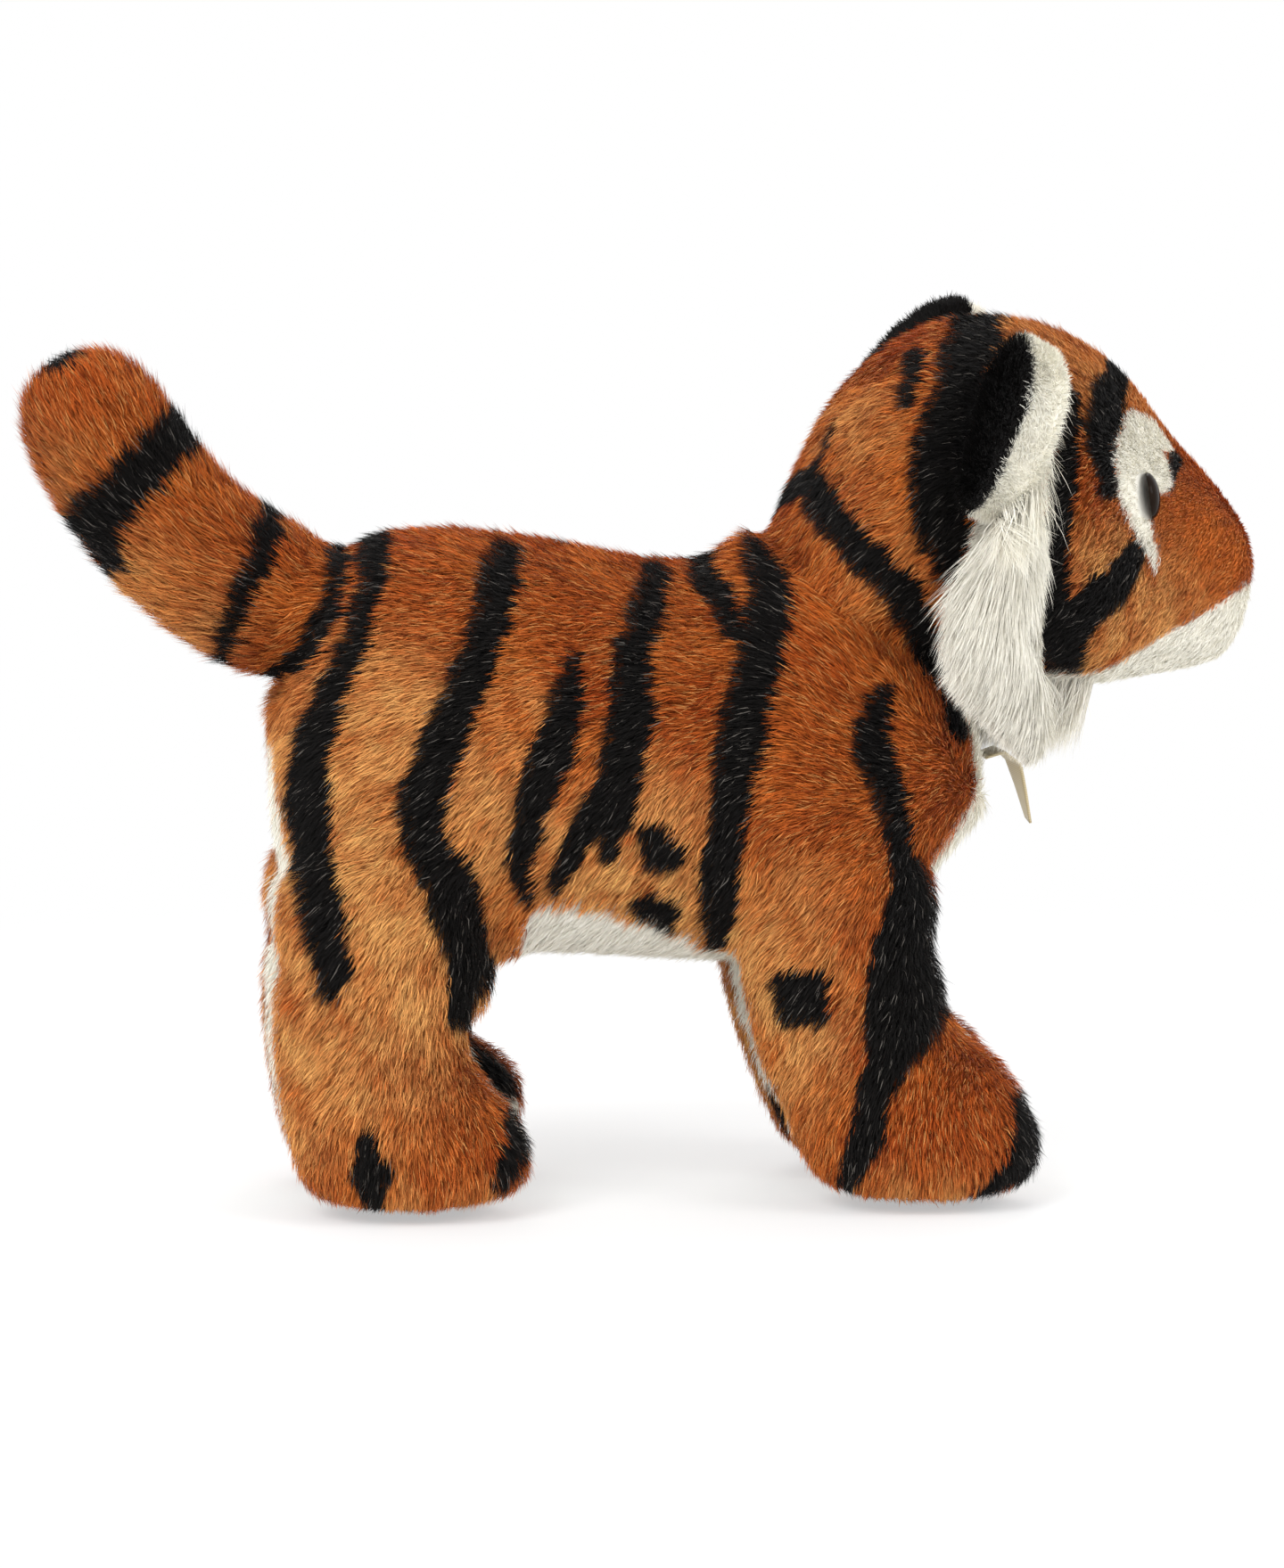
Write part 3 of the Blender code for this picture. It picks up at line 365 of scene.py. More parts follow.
def marks_at(points, part):
    """Share of black, share of white and share of tan of the pile rooted at these points."""
    near = near_side(points, part)
    places = to_picture(near)
    rough = 3.8 * waves(near, 0.009, 3) + 2.4 * waves(near, 0.0035, 4)
    edge = 3.0
    if part == "head":
        local = head_local(points)
        rough *= 1 - 0.7 * step(local[:, 0], 0.012, 0.030)
        black = 1 - step(distance_to(places, HEAD_STRIPES) + rough, -edge, edge)
        white = 1 - step(distance_to(places, HEAD_WHITE) + 0.4 * rough, -edge, edge)
        side = step(np.abs(local[:, 1]) + 0.0002 * rough, FACE_MIDDLE - 0.001, FACE_MIDDLE + 0.001)
        white *= side
        black *= np.maximum(side, 1 - step(local[:, 0], 0.036, 0.040))
        lip = local[:, 2] - (-0.0435 + (local[:, 0] - 0.020) * 0.5095)
        under = (1 - step(lip + 0.0001 * rough, -0.001, 0.001)) * step(local[:, 0], 0.0, 0.006)
        throat = 1 - step(local[:, 2] + 0.0001 * rough, -0.043, -0.040)
        throat = throat * (1 - step(np.abs(local[:, 1]), 0.020, 0.026))
        white = np.maximum(white, np.maximum(under, throat))
        black = black * (1 - np.maximum(under, throat))
        tan = blobs(places, HEAD_TAN)
        return black * (1 - white), white, tan
    black = 1 - step(distance_to(places, BODY_STRIPES) + rough, -edge, edge)
    tan = blobs(places, BODY_TAN)
    x, y, z = near.T
    out = -y + 0.00018 * rough
    white = np.zeros(len(points))
    if part == "torso":
        line = np.interp(places[:, 0], [b[0] for b in BELLY_EDGE], [b[1] for b in BELLY_EDGE])
        between = step(places[:, 0], 584, 594) * (1 - step(places[:, 0], 812, 820))
        white = step(places[:, 1] - line + rough, -edge, edge) * between * (z < 0.09)
        under = (1 - step(out, UNDERSIDE_HALF - 0.002, UNDERSIDE_HALF + 0.002)) * (z < UNDERSIDE_TOP)
        chest = 1 - step(out, CHEST_HALF - 0.0015, CHEST_HALF + 0.0015)
        chest = chest * step(x, CHEST_BACK, CHEST_BACK + 0.006)
        chest *= 1 - step(z, CHEST_TOP - 0.006, CHEST_TOP + 0.004)
        half = np.interp(z, SEAT_HEIGHTS, SEAT_HALVES)
        seat = (1 - step(out - half, -0.0015, 0.0015)) * (x < SEAT_FRONT)
        seat *= 1 - step(z, SEAT_TOP - 0.004, SEAT_TOP + 0.004)
        white = np.maximum(np.maximum(white, under), np.maximum(chest, seat))
    if part.startswith("leg"):
        kind = part.split("_")[1]
        within = 1 - step(out, LEG_INNER[kind] - 0.0015, LEG_INNER[kind] + 0.0015)
        across = to_picture(near * np.array((1.0, -1.0, 1.0)))
        dark = (1 - step(distance_to(across, INNER_MARKS) + rough, -edge, edge)) * within
        white = within * step(z, LEG_INNER_LOW - 0.003, LEG_INNER_LOW + 0.003) * (1 - dark)
        if kind == "front":
            line = np.interp(across[:, 1], [e[1] for e in INNER_EDGE], [e[0] for e in INNER_EDGE])
            white *= step(across[:, 0] - line + rough, -edge, edge)
        black = np.maximum(black * (1 - within), dark)
    return black * (1 - white), white, tan


def muzzle_share(points, part):
    """1 on the muzzle, where the pile is shortest and lies flat, and 0 behind it."""
    if part != "head":
        return np.zeros(len(points))
    return step(head_local(points)[:, 0], 0.010, 0.034)


def pile_colour(points, part, rng=None):
    """Colour of the pile rooted at these points, with each hair its own shade if rng is given."""
    black, white, tan = marks_at(points, part)
    patch = 0.5 + 0.6 * waves(points, 0.024, 11) + 0.35 * waves(points, 0.008, 13)
    if part != "head":
        patch *= 1 - blobs(to_picture(near_side(points, part)), BODY_RUST)
    base = RUST + (ORANGE - RUST) * np.clip(0.15 + 0.75 * patch, 0, 1.2)[:, None]
    base = base * np.exp(0.16 * waves(points, 0.0038, 17))[:, None]
    tan = np.clip(tan * (0.80 + 0.45 * waves(points, 0.011, 12) + 0.30 * waves(points, 0.004, 14)), 0, 1)
    base = base + (TAN - base) * tan[:, None]
    if rng is None:
        dark_pile, pale_pile = BLACK, WHITE
    else:
        lively = 1 - 0.65 * muzzle_share(points, part)
        base = base * np.exp(lively * rng.normal(0.0, 0.20, len(points)))[:, None]
        dark = rng.random(len(points)) < (0.20 - 0.10 * tan) * lively
        base[dark] *= (0.46, 0.32, 0.26)
        light = rng.random(len(points)) < 0.12 * lively
        base[light] = base[light] * 0.50 + TAN * 0.62
        black = (black > rng.random(len(points)) * 0.6 + 0.2).astype(float)
        white = (white > rng.random(len(points)) * 0.6 + 0.2).astype(float)
        dark_pile = BLACK * np.exp(rng.normal(0.0, 0.40, len(points)))[:, None]
        grey = rng.random(len(points)) < 0.040
        dark_pile[grey] = GREY_HAIR
        pale_pile = WHITE * np.exp(rng.normal(-0.02, 0.05, len(points)))[:, None]
    colour = base + (dark_pile - base) * black[:, None]
    return np.clip(colour + (pale_pile - colour) * white[:, None], 0, 0.96)


# Pile: flat tapered hairs, each bent over along the comb direction

SHORT = (0.0, 0.45, 1.0)
LONG = (0.0, 0.22, 0.48, 0.75, 1.0)
PILE_LOOK = {
    "sections": SHORT,
    "lift": (46.0, 5.0),
    "tilt": 11.0,
    "stray": 0.20,
    "clump": 0.22,
    "spacing": 0.0020,
    "sink": 0.0006,
    # base and tip scale each hair's colour from root to end: base is painted shade that darkens the root as
    # deep in the pile, and the tip is lighter
    "base": 0.66,
    "tip": 1.22,
}


def fallen(degrees):
    """Backwards along the body and this much below the horizontal."""
    angle = np.radians(degrees)
    return np.stack([-np.cos(angle), np.zeros_like(angle), -np.sin(angle)], axis=1)


def flattened(way, normals):
    way = way - normals * (way * normals).sum(axis=1)[:, None]
    return way / np.maximum(np.linalg.norm(way, axis=1), 1e-6)[:, None]


def comb(points, normals, part):
    """The way the pile lies at each point, along the surface."""
    x, z = points[:, 0], points[:, 2]
    if part == "torso":
        fall = 14 + 34 * (1 - step(z, 0.085, 0.140)) + 14 * (1 - step(z, 0.050, 0.080))
        fall -= 52 * step(x, 0.012, 0.045) * step(z, 0.080, 0.110)
        way = fallen(fall)
    elif part == "head":
        local = head_local(points)
        out = local - np.array((0.075, 0.0, -0.012))
        out[:, 2] -= 0.6 * np.abs(out[:, 0]) * (1 - step(local[:, 2], 0.0, 0.03))
        way = head_turned(out)
    elif part == "tail":
        rise = np.radians(np.interp(-x, (0.085, 0.105, 0.120, 0.140), (20.0, 30.0, 48.0, 60.0)))
        way = np.stack([-np.cos(rise), np.zeros(len(x)), np.sin(rise)], axis=1)
    else:
        way = fallen(62 + 24 * (1 - step(z, 0.016, 0.036)))
    way = way / np.maximum(np.linalg.norm(way, axis=1), 1e-9)[:, None]
    way += 0.20 * np.stack([waves(points, 0.018, 21 + k) for k in range(3)], axis=1)
    return flattened(way, normals)


def scatter(co, faces, normal, per_mm2, rng, keep=None):
    """Random roots over the surface: places and smooth normals."""
    a, b, c = (co[faces[:, k]] for k in range(3))
    area = 0.5 * np.linalg.norm(np.cross(b - a, c - a), axis=1)
    if keep is not None:
        area = area * keep((a + b + c) / 3)
    count = int(area.sum() * 1e6 * per_mm2)
    if count == 0:
        return np.zeros((0, 3)), np.zeros((0, 3))
    pick = rng.choice(len(faces), count, p=area / area.sum())
    u, v = rng.random(count), rng.random(count)
    flip = u + v > 1
    u[flip], v[flip] = 1 - u[flip], 1 - v[flip]
    w = np.stack([1 - u - v, u, v], axis=1)
    root = (co[faces[pick]] * w[:, :, None]).sum(axis=1)
    up = (normal[faces[pick]] * w[:, :, None]).sum(axis=1)
    return root, up / np.linalg.norm(up, axis=1)[:, None]


def gather(root, spacing, rng):
    """For each root, the index of the lock it belongs to."""
    cells = np.floor(root / spacing + rng.random(3)).astype(np.int64)
    key = (cells * np.array((73856093, 19349663, 83492791))).sum(axis=1)
    _, first, lock = np.unique(key, return_index=True, return_inverse=True)
    return first, lock.reshape(-1)


def hairs(name, root, up, way, length, width, colour, rng, **look):
    """One mesh of flat tapered hairs, with painted shade at their roots. The look's values are those of
    PILE_LOOK.
    """
    look = {**PILE_LOOK, **look}
    sections = look["sections"]
    count = len(root)
    first, lock = gather(root, look["spacing"], rng)
    way = flattened(way + look["stray"] * rng.normal(size=way.shape), up)
    tilt = rng.normal(0.0, look["tilt"], count)
    rows = [root - look["sink"] * up]
    at = root.copy()
    rise, fall = look["lift"]
    for one, two in zip(sections, sections[1:]):
        angle = np.radians(np.maximum(rise + (fall - rise) * (one + two) / 2 + tilt, -4.0))
        turned = np.cos(angle)[:, None] * way + np.sin(angle)[:, None] * up
        at = at + ((two - one) * length)[:, None] * turned
        rows.append(at)
    pull = rows[-1][first][lock] + 0.35 * (root - root[first][lock]) - rows[-1]
    for k, share in enumerate(sections):
        rows[k] = rows[k] + look["clump"] * share**2 * pull
    twist = rng.normal(0.0, 0.55, count)
    side = np.cross(way, up) * np.cos(twist)[:, None] + up * np.sin(twist)[:, None]
    # Painted shade: each hair is darker at its root, less so for pale hairs, and lighter towards its tip
    pale = np.clip(colour[:, 2:3] / 0.5, 0, 1)
    base = look["base"] + (0.97 - look["base"]) * pale
    tip = look["tip"] + (1.03 - look["tip"]) * pale
    points, shades = [], []
    for row, share in zip(rows[:-1], sections):
        half = (0.5 * (1.0 - 0.75 * share**1.6) * width)[:, None] * side
        points += [row - half, row + half]
        shades += [colour * (base + (tip - base) * share**0.8)] * 2
    points.append(rows[-1])
    shades.append(colour * tip)
    tint = np.clip(np.stack(shades, axis=1).reshape(-1, 3), 0, 0.95)
    return hair_mesh(name, np.stack(points, axis=1), tint)


def hair_mesh(name, points, tint):
    """Quads along each hair and a triangle at its tip, with a cell of the bake's map for each hair."""
    count, corners, _ = points.shape
    quads = (corners - 3) // 2
    loops, starts = [], []
    for k in range(quads):
        starts.append(len(loops))
        loops += [2 * k, 2 * k + 1, 2 * k + 3, 2 * k + 2]
    starts.append(len(loops))
    loops += [2 * quads, 2 * quads + 1, 2 * quads + 2]
    loops, each = np.array(loops), np.arange(count)[:, None]
    index = each * corners + loops[None, :]
    mesh = bpy.data.meshes.new(name)
    mesh.vertices.add(count * corners)
    mesh.loops.add(index.size)
    mesh.polygons.add(count * (quads + 1))
    mesh.vertices.foreach_set("co", points.astype(np.float32).ravel())
    mesh.loops.foreach_set("vertex_index", index.astype(np.int32).ravel())
    loop_starts = each * len(loops) + np.array(starts)[None, :]
    mesh.polygons.foreach_set("loop_start", loop_starts.astype(np.int32).ravel())
    mesh.polygons.foreach_set("use_smooth", np.ones(count * (quads + 1), bool))
    cells = math.ceil(math.sqrt(count))
    cell = np.stack([np.arange(count) % cells, np.arange(count) // cells], axis=1)[:, None, :]
    local = []
    for k in range(quads + 1):
        height = 0.08 + 0.84 * k / (quads + 1)
        local += [(0.12, height), (0.88, height)]
    local.append((0.5, 0.92))
    uv = ((cell + np.array(local)[None, loops, :]) / cells).astype(np.float32)
    layer = mesh.uv_layers.new(name="OFBake")
    layer.uv.foreach_set("vector", uv.ravel())
    paint(mesh, tint)
    mesh.update()
    return mesh


def paint(mesh, tint):
    """Writes the colour of each point that the pile materials read."""
    tints = mesh.attributes.new("pile", "FLOAT_COLOR", "POINT")
    opaque = np.concatenate([tint, np.ones((len(tint), 1))], axis=1)
    tints.data.foreach_set("color", opaque.astype(np.float32).ravel())


def pile_material(name, roughness=0.70, sheen=0.04):
    """Reads the colour painted on each point, painted shade included, and breaks it up a little."""
    mat = bpy.data.materials.new(name)
    mat.use_nodes = True
    tree = mat.node_tree
    shader = tree.nodes["Principled BSDF"]
    tint = tree.nodes.new("ShaderNodeAttribute")
    tint.attribute_name = "pile"
    place = tree.nodes.new("ShaderNodeTexCoord")
    noise = tree.nodes.new("ShaderNodeTexNoise")
    noise.inputs["Scale"].default_value = 900.0
    noise.inputs["Detail"].default_value = 2.0
    ramp = tree.nodes.new("ShaderNodeMapRange")
    ramp.inputs["To Min"].default_value = 0.82
    ramp.inputs["To Max"].default_value = 1.18
    mix = tree.nodes.new("ShaderNodeVectorMath")
    mix.operation = "SCALE"
    tree.links.new(place.outputs["Object"], noise.inputs["Vector"])
    tree.links.new(noise.outputs["Fac"], ramp.inputs["Value"])
    tree.links.new(tint.outputs["Color"], mix.inputs[0])
    tree.links.new(ramp.outputs["Result"], mix.inputs["Scale"])
    tree.links.new(mix.outputs["Vector"], shader.inputs["Base Color"])
    shader.inputs["Roughness"].default_value = roughness
    shader.inputs["Sheen Weight"].default_value = sheen
    shader.inputs["Sheen Roughness"].default_value = 0.4
    shader.inputs["Specular IOR Level"].default_value = 0.12
    return mat


# Skins

LEGS = ("hind_left", "hind_right", "front_left", "front_right")


def part_of(co):
    """The part that each point belongs to: torso, head, tail or a leg."""
    part = np.full(len(co), "torso", dtype="<U16")
    part[co @ np.array(NECK_AXIS) > NECK_START] = "head"
    off = co - np.array(TAIL_ROOT)
    along = off @ np.array(TAIL_WAY)
    part[(along > TAIL_START) & (co[:, 0] < -0.07) & (co[:, 2] > 0.118)] = "tail"
    low = co[:, 2] < LEG_START_Z
    for leg in LEGS:
        fore = (co[:, 0] > LEG_SPLIT_X) == leg.startswith("front")
        left = (co[:, 1] > 0.0) == leg.endswith("left")
        part[low & fore & left] = "leg_" + leg
    return part


# Where the sewn skin differs a little from the CAD solids: place, reach and move
NUDGES = [
    ((0.028, 0.000, 0.163), 0.014, (-0.0010, 0.0, 0.0035)),
    ((0.022, 0.033, 0.030), 0.022, (-0.0050, 0.0, 0.0)),
    ((-0.031, 0.030, 0.028), 0.014, (0.0060, 0.0, 0.0030)),
    ((0.138, 0.0, 0.187), 0.019, (-0.0022, 0.0, -0.0018)),
    ((0.149, 0.0, 0.157), 0.012, (0.0022, 0.0, 0.0)),
    ((0.086, 0.024, 0.036), 0.011, (0.0018, 0.0, 0.0030)),
    ((0.086, -0.024, 0.036), 0.011, (0.0018, 0.0, 0.0030)),
    ((-0.040, 0.022, 0.060), 0.011, (0.0040, 0.0, -0.0068)),
    ((-0.040, -0.022, 0.060), 0.011, (0.0040, 0.0, -0.0068)),
    ((0.028, -0.024, 0.036), 0.016, (-0.0032, 0.0, 0.0)),
]


# The skin swells around each eye and hides the back of its rim
EYE_BED_REACH, EYE_BED_RISE = 0.009, 0.0021


def nudged(co):
    for place, reach, move in NUDGES:
        away = ((co - np.array(place)) ** 2).sum(axis=1) / reach**2
        co = co + np.exp(-away)[:, None] * np.array(move)
    for side in ("left", "right"):
        middle = stud_place("eye_" + side, facing(side, EYE_FACING, EYE_TILT), EYE_DOME)
        away = ((co - np.array(middle)) ** 2).sum(axis=1) / EYE_BED_REACH**2
        co = co + EYE_BED_RISE * np.exp(-away)[:, None] * np.array(facing(side, EYE_SEEN, EYE_TILT))
    return co


CLOTH_VOXEL, CLOTH_START, CLOTH_CAP, CLOTH_FRAMES = 0.005, 0.0010, 0.0020, 20


def stuffed(mesh):
    """Blows the skin up a little as cloth under pressure, and returns its points as they settle."""
    form = remeshed(mesh.copy(), CLOTH_VOXEL, "form")
    outer_shell(form)
    start = points_of(form) - CLOTH_START * normals_of(form)
    set_points(form, start)
    obj = new_object("form", form)
    cloth = obj.modifiers.new("cloth", "CLOTH")
    cloth.settings.quality = 5
    cloth.settings.mass = 0.2
    cloth.settings.use_pressure = True
    cloth.settings.uniform_pressure_force = 4.0
    cloth.settings.effector_weights.gravity = 0.0
    scene = bpy.context.scene
    for frame_number in range(1, CLOTH_FRAMES + 1):
        scene.frame_set(frame_number)
    graph = bpy.context.evaluated_depsgraph_get()
    settled = points_of(obj.evaluated_get(graph).data)
    scene.frame_set(1)
    bpy.data.objects.remove(obj)
    bpy.data.meshes.remove(form)
    move = settled - start
    size = np.linalg.norm(move, axis=1)[:, None]
    move *= np.minimum(1.0, CLOTH_CAP / np.maximum(size, 1e-9))
    tree = KDTree(len(start))
    for k, place in enumerate(start):
        tree.insert(place, k)
    tree.balance()
    co = points_of(mesh)
    shift = np.zeros_like(co)
    for k, place in enumerate(co):
        near = tree.find_n(place, 4)
        weight = np.array([1 / (n[2] + 1e-4) for n in near])
        shift[k] = (weight[:, None] * move[[n[1] for n in near]]).sum(axis=0) / weight.sum()
    return co + shift


def body_skin():
    """One closed skin over the torso, head, legs and tail, a little inside the outline of the pile."""
    names = ["torso_skin", "belly_panel", "torso_stuffing", "head_skin", "lip_panel", "head_stuffing"]
    names += ["tail_skin", "tail_stuffing"]
    for leg in LEGS:
        names += ["leg_skin_" + leg, "leg_stuffing_" + leg, "sole_" + leg]
    mesh = remeshed(joined("skin", names), SKIN_VOXEL, "skin")
    outer_shell(mesh)
    set_points(mesh, nudged(relax(points_of(mesh), edges_of(mesh), 14)))
    set_points(mesh, relax(stuffed(mesh), edges_of(mesh), 4))
    co = points_of(mesh)
    inset = SKIN_INSET + FOOT_ROUND * (1 - step(co[:, 2], 0.0, FOOT_ROUND_HEIGHT)) ** 2
    co = co - normals_of(mesh) * inset[:, None]
    co[:, 2] = np.maximum(co[:, 2], FOOT_LOW)
    set_points(mesh, co)
    return mesh


def split(mesh):
    """Cuts the skin into one mesh for each part."""
    co = points_of(mesh)
    tri = triangles_of(mesh)
    part = part_of(co[tri].mean(axis=1))
    normal = normals_of(mesh)
    pieces = {}
    for name in np.unique(part):
        faces = tri[part == name]
        used, faces = np.unique(faces, return_inverse=True)
        faces = faces.reshape(-1, 3)
        pieces[str(name)] = (co[used], faces, normal[used])
    return pieces


BLENDS = {
    "head": ("torso", "head", NECK_AXIS * NECK_START, NECK_AXIS * NECK_END),
    "tail": ("torso", "tail", TAIL_ROOT + TAIL_WAY * TAIL_START, TAIL_ROOT + TAIL_WAY * TAIL_END),
}
for leg in LEGS:
    blend_from, blend_to = Vector((0.0, 0.0, LEG_START_Z)), Vector((0.0, 0.0, LEG_END_Z))
    BLENDS["leg_" + leg] = ("torso", "leg_" + leg, blend_from, blend_to)


def attach(obj, part):
    if part in BLENDS:
        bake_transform(obj)
    else:
        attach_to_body(obj, part)
    return obj


def plain_material(name, colour, roughness=0.8):
    mat = bpy.data.materials.new(name)
    mat.use_nodes = True
    shader = mat.node_tree.nodes["Principled BSDF"]
    shader.inputs["Base Color"].default_value = (*colour, 1.0)
    shader.inputs["Roughness"].default_value = roughness
    return mat


def mesh_from(name, co, faces):
    mesh = bpy.data.meshes.new(name)
    mesh.from_pydata(co.tolist(), [], faces.tolist())
    mesh.shade_smooth()
    return mesh


def make_camera():
    right, up, back = view_axes()
    cam = bpy.data.cameras.new("camera")
    obj = bpy.data.objects.new("camera", cam)
    bpy.context.scene.collection.objects.link(obj)
    obj.location = VIEW_TARGET + VIEW_DISTANCE * back
    obj.rotation_euler = (-back).to_track_quat("-Z", "Y").to_euler()
    cam.sensor_fit = "HORIZONTAL"
    cam.sensor_width = SENSOR
    cam.lens = SENSOR * FOCAL_PIXELS / PICTURE[0]
    bpy.context.scene.camera = obj


def seen_white(tree, shader, output):
    """Shows plain white instead of the shader to the camera and in reflections."""
    path = tree.nodes.new("ShaderNodeLightPath")
    in_material = output.bl_idname == "ShaderNodeOutputMaterial"
    white = tree.nodes.new("ShaderNodeEmission" if in_material else "ShaderNodeBackground")
    white.inputs["Color"].default_value = (1.0, 1.0, 1.0, 1.0)
    white.inputs["Strength"].default_value = 1.0
    seen = path.outputs["Is Camera Ray"]
    for other in ("Is Glossy Ray", "Is Transmission Ray"):
        either = tree.nodes.new("ShaderNodeMath")
        either.operation = "MAXIMUM"
        tree.links.new(seen, either.inputs[0])
        tree.links.new(path.outputs[other], either.inputs[1])
        seen = either.outputs[0]
    mix = tree.nodes.new("ShaderNodeMixShader")
    tree.links.new(seen, mix.inputs["Fac"])
    tree.links.new(shader, mix.inputs[1])
    tree.links.new(white.outputs[0], mix.inputs[2])
    tree.links.new(mix.outputs[0], output.inputs["Surface"])
    return seen, mix


def floor_material():
    """White floor: it takes the toy's shadow near its feet and fades to plain white around it."""
    mat = plain_material("floor", (0.93, 0.93, 0.93), 0.9)
    tree = mat.node_tree
    seen, mix = seen_white(tree, tree.nodes["Principled BSDF"].outputs[0], tree.nodes["Material Output"])
    place = tree.nodes.new("ShaderNodeTexCoord")
    away = tree.nodes.new("ShaderNodeVectorMath")
    away.operation = "LENGTH"
    fade = tree.nodes.new("ShaderNodeMapRange")
    fade.interpolation_type = "SMOOTHSTEP"
    fade.inputs["From Min"].default_value = FLOOR_FADE[0]
    fade.inputs["From Max"].default_value = FLOOR_FADE[1]
    fade.inputs["To Min"].default_value = FLOOR_WHITE
    far = tree.nodes.new("ShaderNodeMath")
    far.operation = "MULTIPLY"
    tree.links.new(place.outputs["Object"], away.inputs[0])
    tree.links.new(away.outputs["Value"], fade.inputs["Value"])
    tree.links.new(fade.outputs["Result"], far.inputs[0])
    tree.links.new(seen, far.inputs[1])
    tree.links.new(far.outputs[0], mix.inputs["Fac"])
    return mat


LAMPS = [((-1.2, -1.5, 1.7), 1.3, 34.0), ((1.6, -1.1, 1.3), 1.1, 18.0), ((0.2, 1.5, 1.6), 1.3, 12.0)]
WORLD_LIGHT = 0.80
FLOOR_FADE = (0.16, 0.50)
FLOOR_WHITE = 0.45


def make_stage():
    mesh = bpy.data.meshes.new("floor")
    mesh.from_pydata([(-4, -4, 0), (4, -4, 0), (4, 4, 0), (-4, 4, 0)], [], [(0, 1, 2, 3)])
    floor = new_object("floor", mesh)
    floor.data.materials.append(floor_material())
    for place, size, power in LAMPS:
        lamp = bpy.data.lights.new("lamp", "AREA")
        lamp.size = size
        lamp.energy = power
        obj = bpy.data.objects.new("lamp", lamp)
        bpy.context.scene.collection.objects.link(obj)
        obj.location = place
        obj.rotation_euler = (Vector((0.0, 0.0, 0.1)) - Vector(place)).to_track_quat("-Z", "Y").to_euler()
    world = bpy.data.worlds.new("world")
    bpy.context.scene.world = world
    world.use_nodes = True
    tree = world.node_tree
    light = tree.nodes["Background"]
    light.inputs["Color"].default_value = (1.0, 1.0, 1.0, 1.0)
    light.inputs["Strength"].default_value = WORLD_LIGHT
    seen_white(tree, light.outputs[0], tree.nodes["World Output"])
    bpy.context.scene.view_settings.view_transform = "Standard"


# Ears, ruffs, studs and ribbon

# The right ear's base in the head's frame, as in the CAD source
EAR_ROOT = np.array((-0.01270, -0.03646, 0.01741))
EAR_ALONG = np.array((0.3646, 0.3699, 0.8546))
EAR_OUTWARD = np.array((-0.23, -0.85, 0.47))
EAR_HEIGHT, EAR_REACH, EAR_CUP, EAR_CURL = 0.054, 0.029, 0.010, 0.5
EAR_PLUMP, EAR_LAYERS, EAR_BACK_LAYERS = 0.0026, 3, 2
EAR_BACK = {"right": 0.0014, "left": 0.0030}
EAR_INSET = 0.0018
# The near ear is a little shorter at its top, and the far ear lies further forward and shows only its back
EAR_LOWERED = {"right": 0.17, "left": 0.0}
EAR_FORWARD = {"right": 0.0, "left": 0.0115}
EAR_WHITE_FROM = {"right": -0.0020, "left": 0.0030}
EAR_VOXEL, RUFF_VOXEL = 0.0013, 0.0018


def mirrored(local, side):
    return local * np.array((1.0, -1.0 if side == "left" else 1.0, 1.0))


def ear_axes(side):
    """The middle of the ear's base line, and its ways along, out and forward."""
    along = EAR_ALONG / np.linalg.norm(EAR_ALONG)
    out = EAR_OUTWARD - (EAR_OUTWARD @ along) * along
    out /= np.linalg.norm(out)
    forward = np.cross(along, out)
    forward *= np.sign(forward[0])
    root = head_world(mirrored(EAR_ROOT, side)[None])[0]
    return root, head_turned(np.array([mirrored(v, side) for v in (along, out, forward)]))


def ear_places(points, side):
    """Distances along and out from the base line, and forward of the cupped middle of the ear."""
    root, axes = ear_axes(side)
    moved = points - root - np.array((0.7 * EAR_FORWARD[side], 0.0, 0.0))
    along, out, ahead = (moved @ axes.T).T
    share = out / EAR_REACH
    return along, out, ahead - EAR_CUP * share * (EAR_CURL * (along / (EAR_HEIGHT / 2)) ** 2 + share)


def ear_skin(side):
    """Both layers of the ear in one skin, with its front plumped up."""
    root, (along, out, forward) = ear_axes(side)
    mesh = joined("ear", ["ear_back_" + side, "ear_front_" + side])
    bm = bmesh.new()
    bm.from_mesh(mesh)
    middle = root + 0.5 * EAR_REACH * out
    layers = (("ear_front_", EAR_LAYERS, EAR_PLUMP), ("ear_back_", EAR_BACK_LAYERS, -EAR_BACK[side]))
    for node, count, apart in layers:
        for k in range(1, count + 1):
            copy = joined("ear_layer", [node + side])
            co = middle + (points_of(copy) - middle) * (1 - 0.025 * k * k) + apart * k * forward
            set_points(copy, co)
            bm.from_mesh(copy)
            bpy.data.meshes.remove(copy)
    bm.to_mesh(mesh)
    bm.free()
    made = smooth_skin(mesh, EAR_VOXEL, "ear_" + side, 10, EAR_INSET)
    co = points_of(made)
    height = ((co - root) @ along)[:, None]
    co -= EAR_LOWERED[side] * np.maximum(height, 0.0) * along
    share = 0.4 + 0.6 * np.clip(height / EAR_HEIGHT + 0.5, 0, 1)
    co += EAR_FORWARD[side] * share * np.array((1.0, 0.0, 0.0))
    set_points(made, co)
    return made


def smooth_skin(mesh, voxel, name, steps, inset):
    made = remeshed(mesh, voxel, name)
    outer_shell(made)
    set_points(made, relax(points_of(made), edges_of(made), steps))
    set_points(made, points_of(made) - inset * normals_of(made))
    made.shade_smooth()
    return made


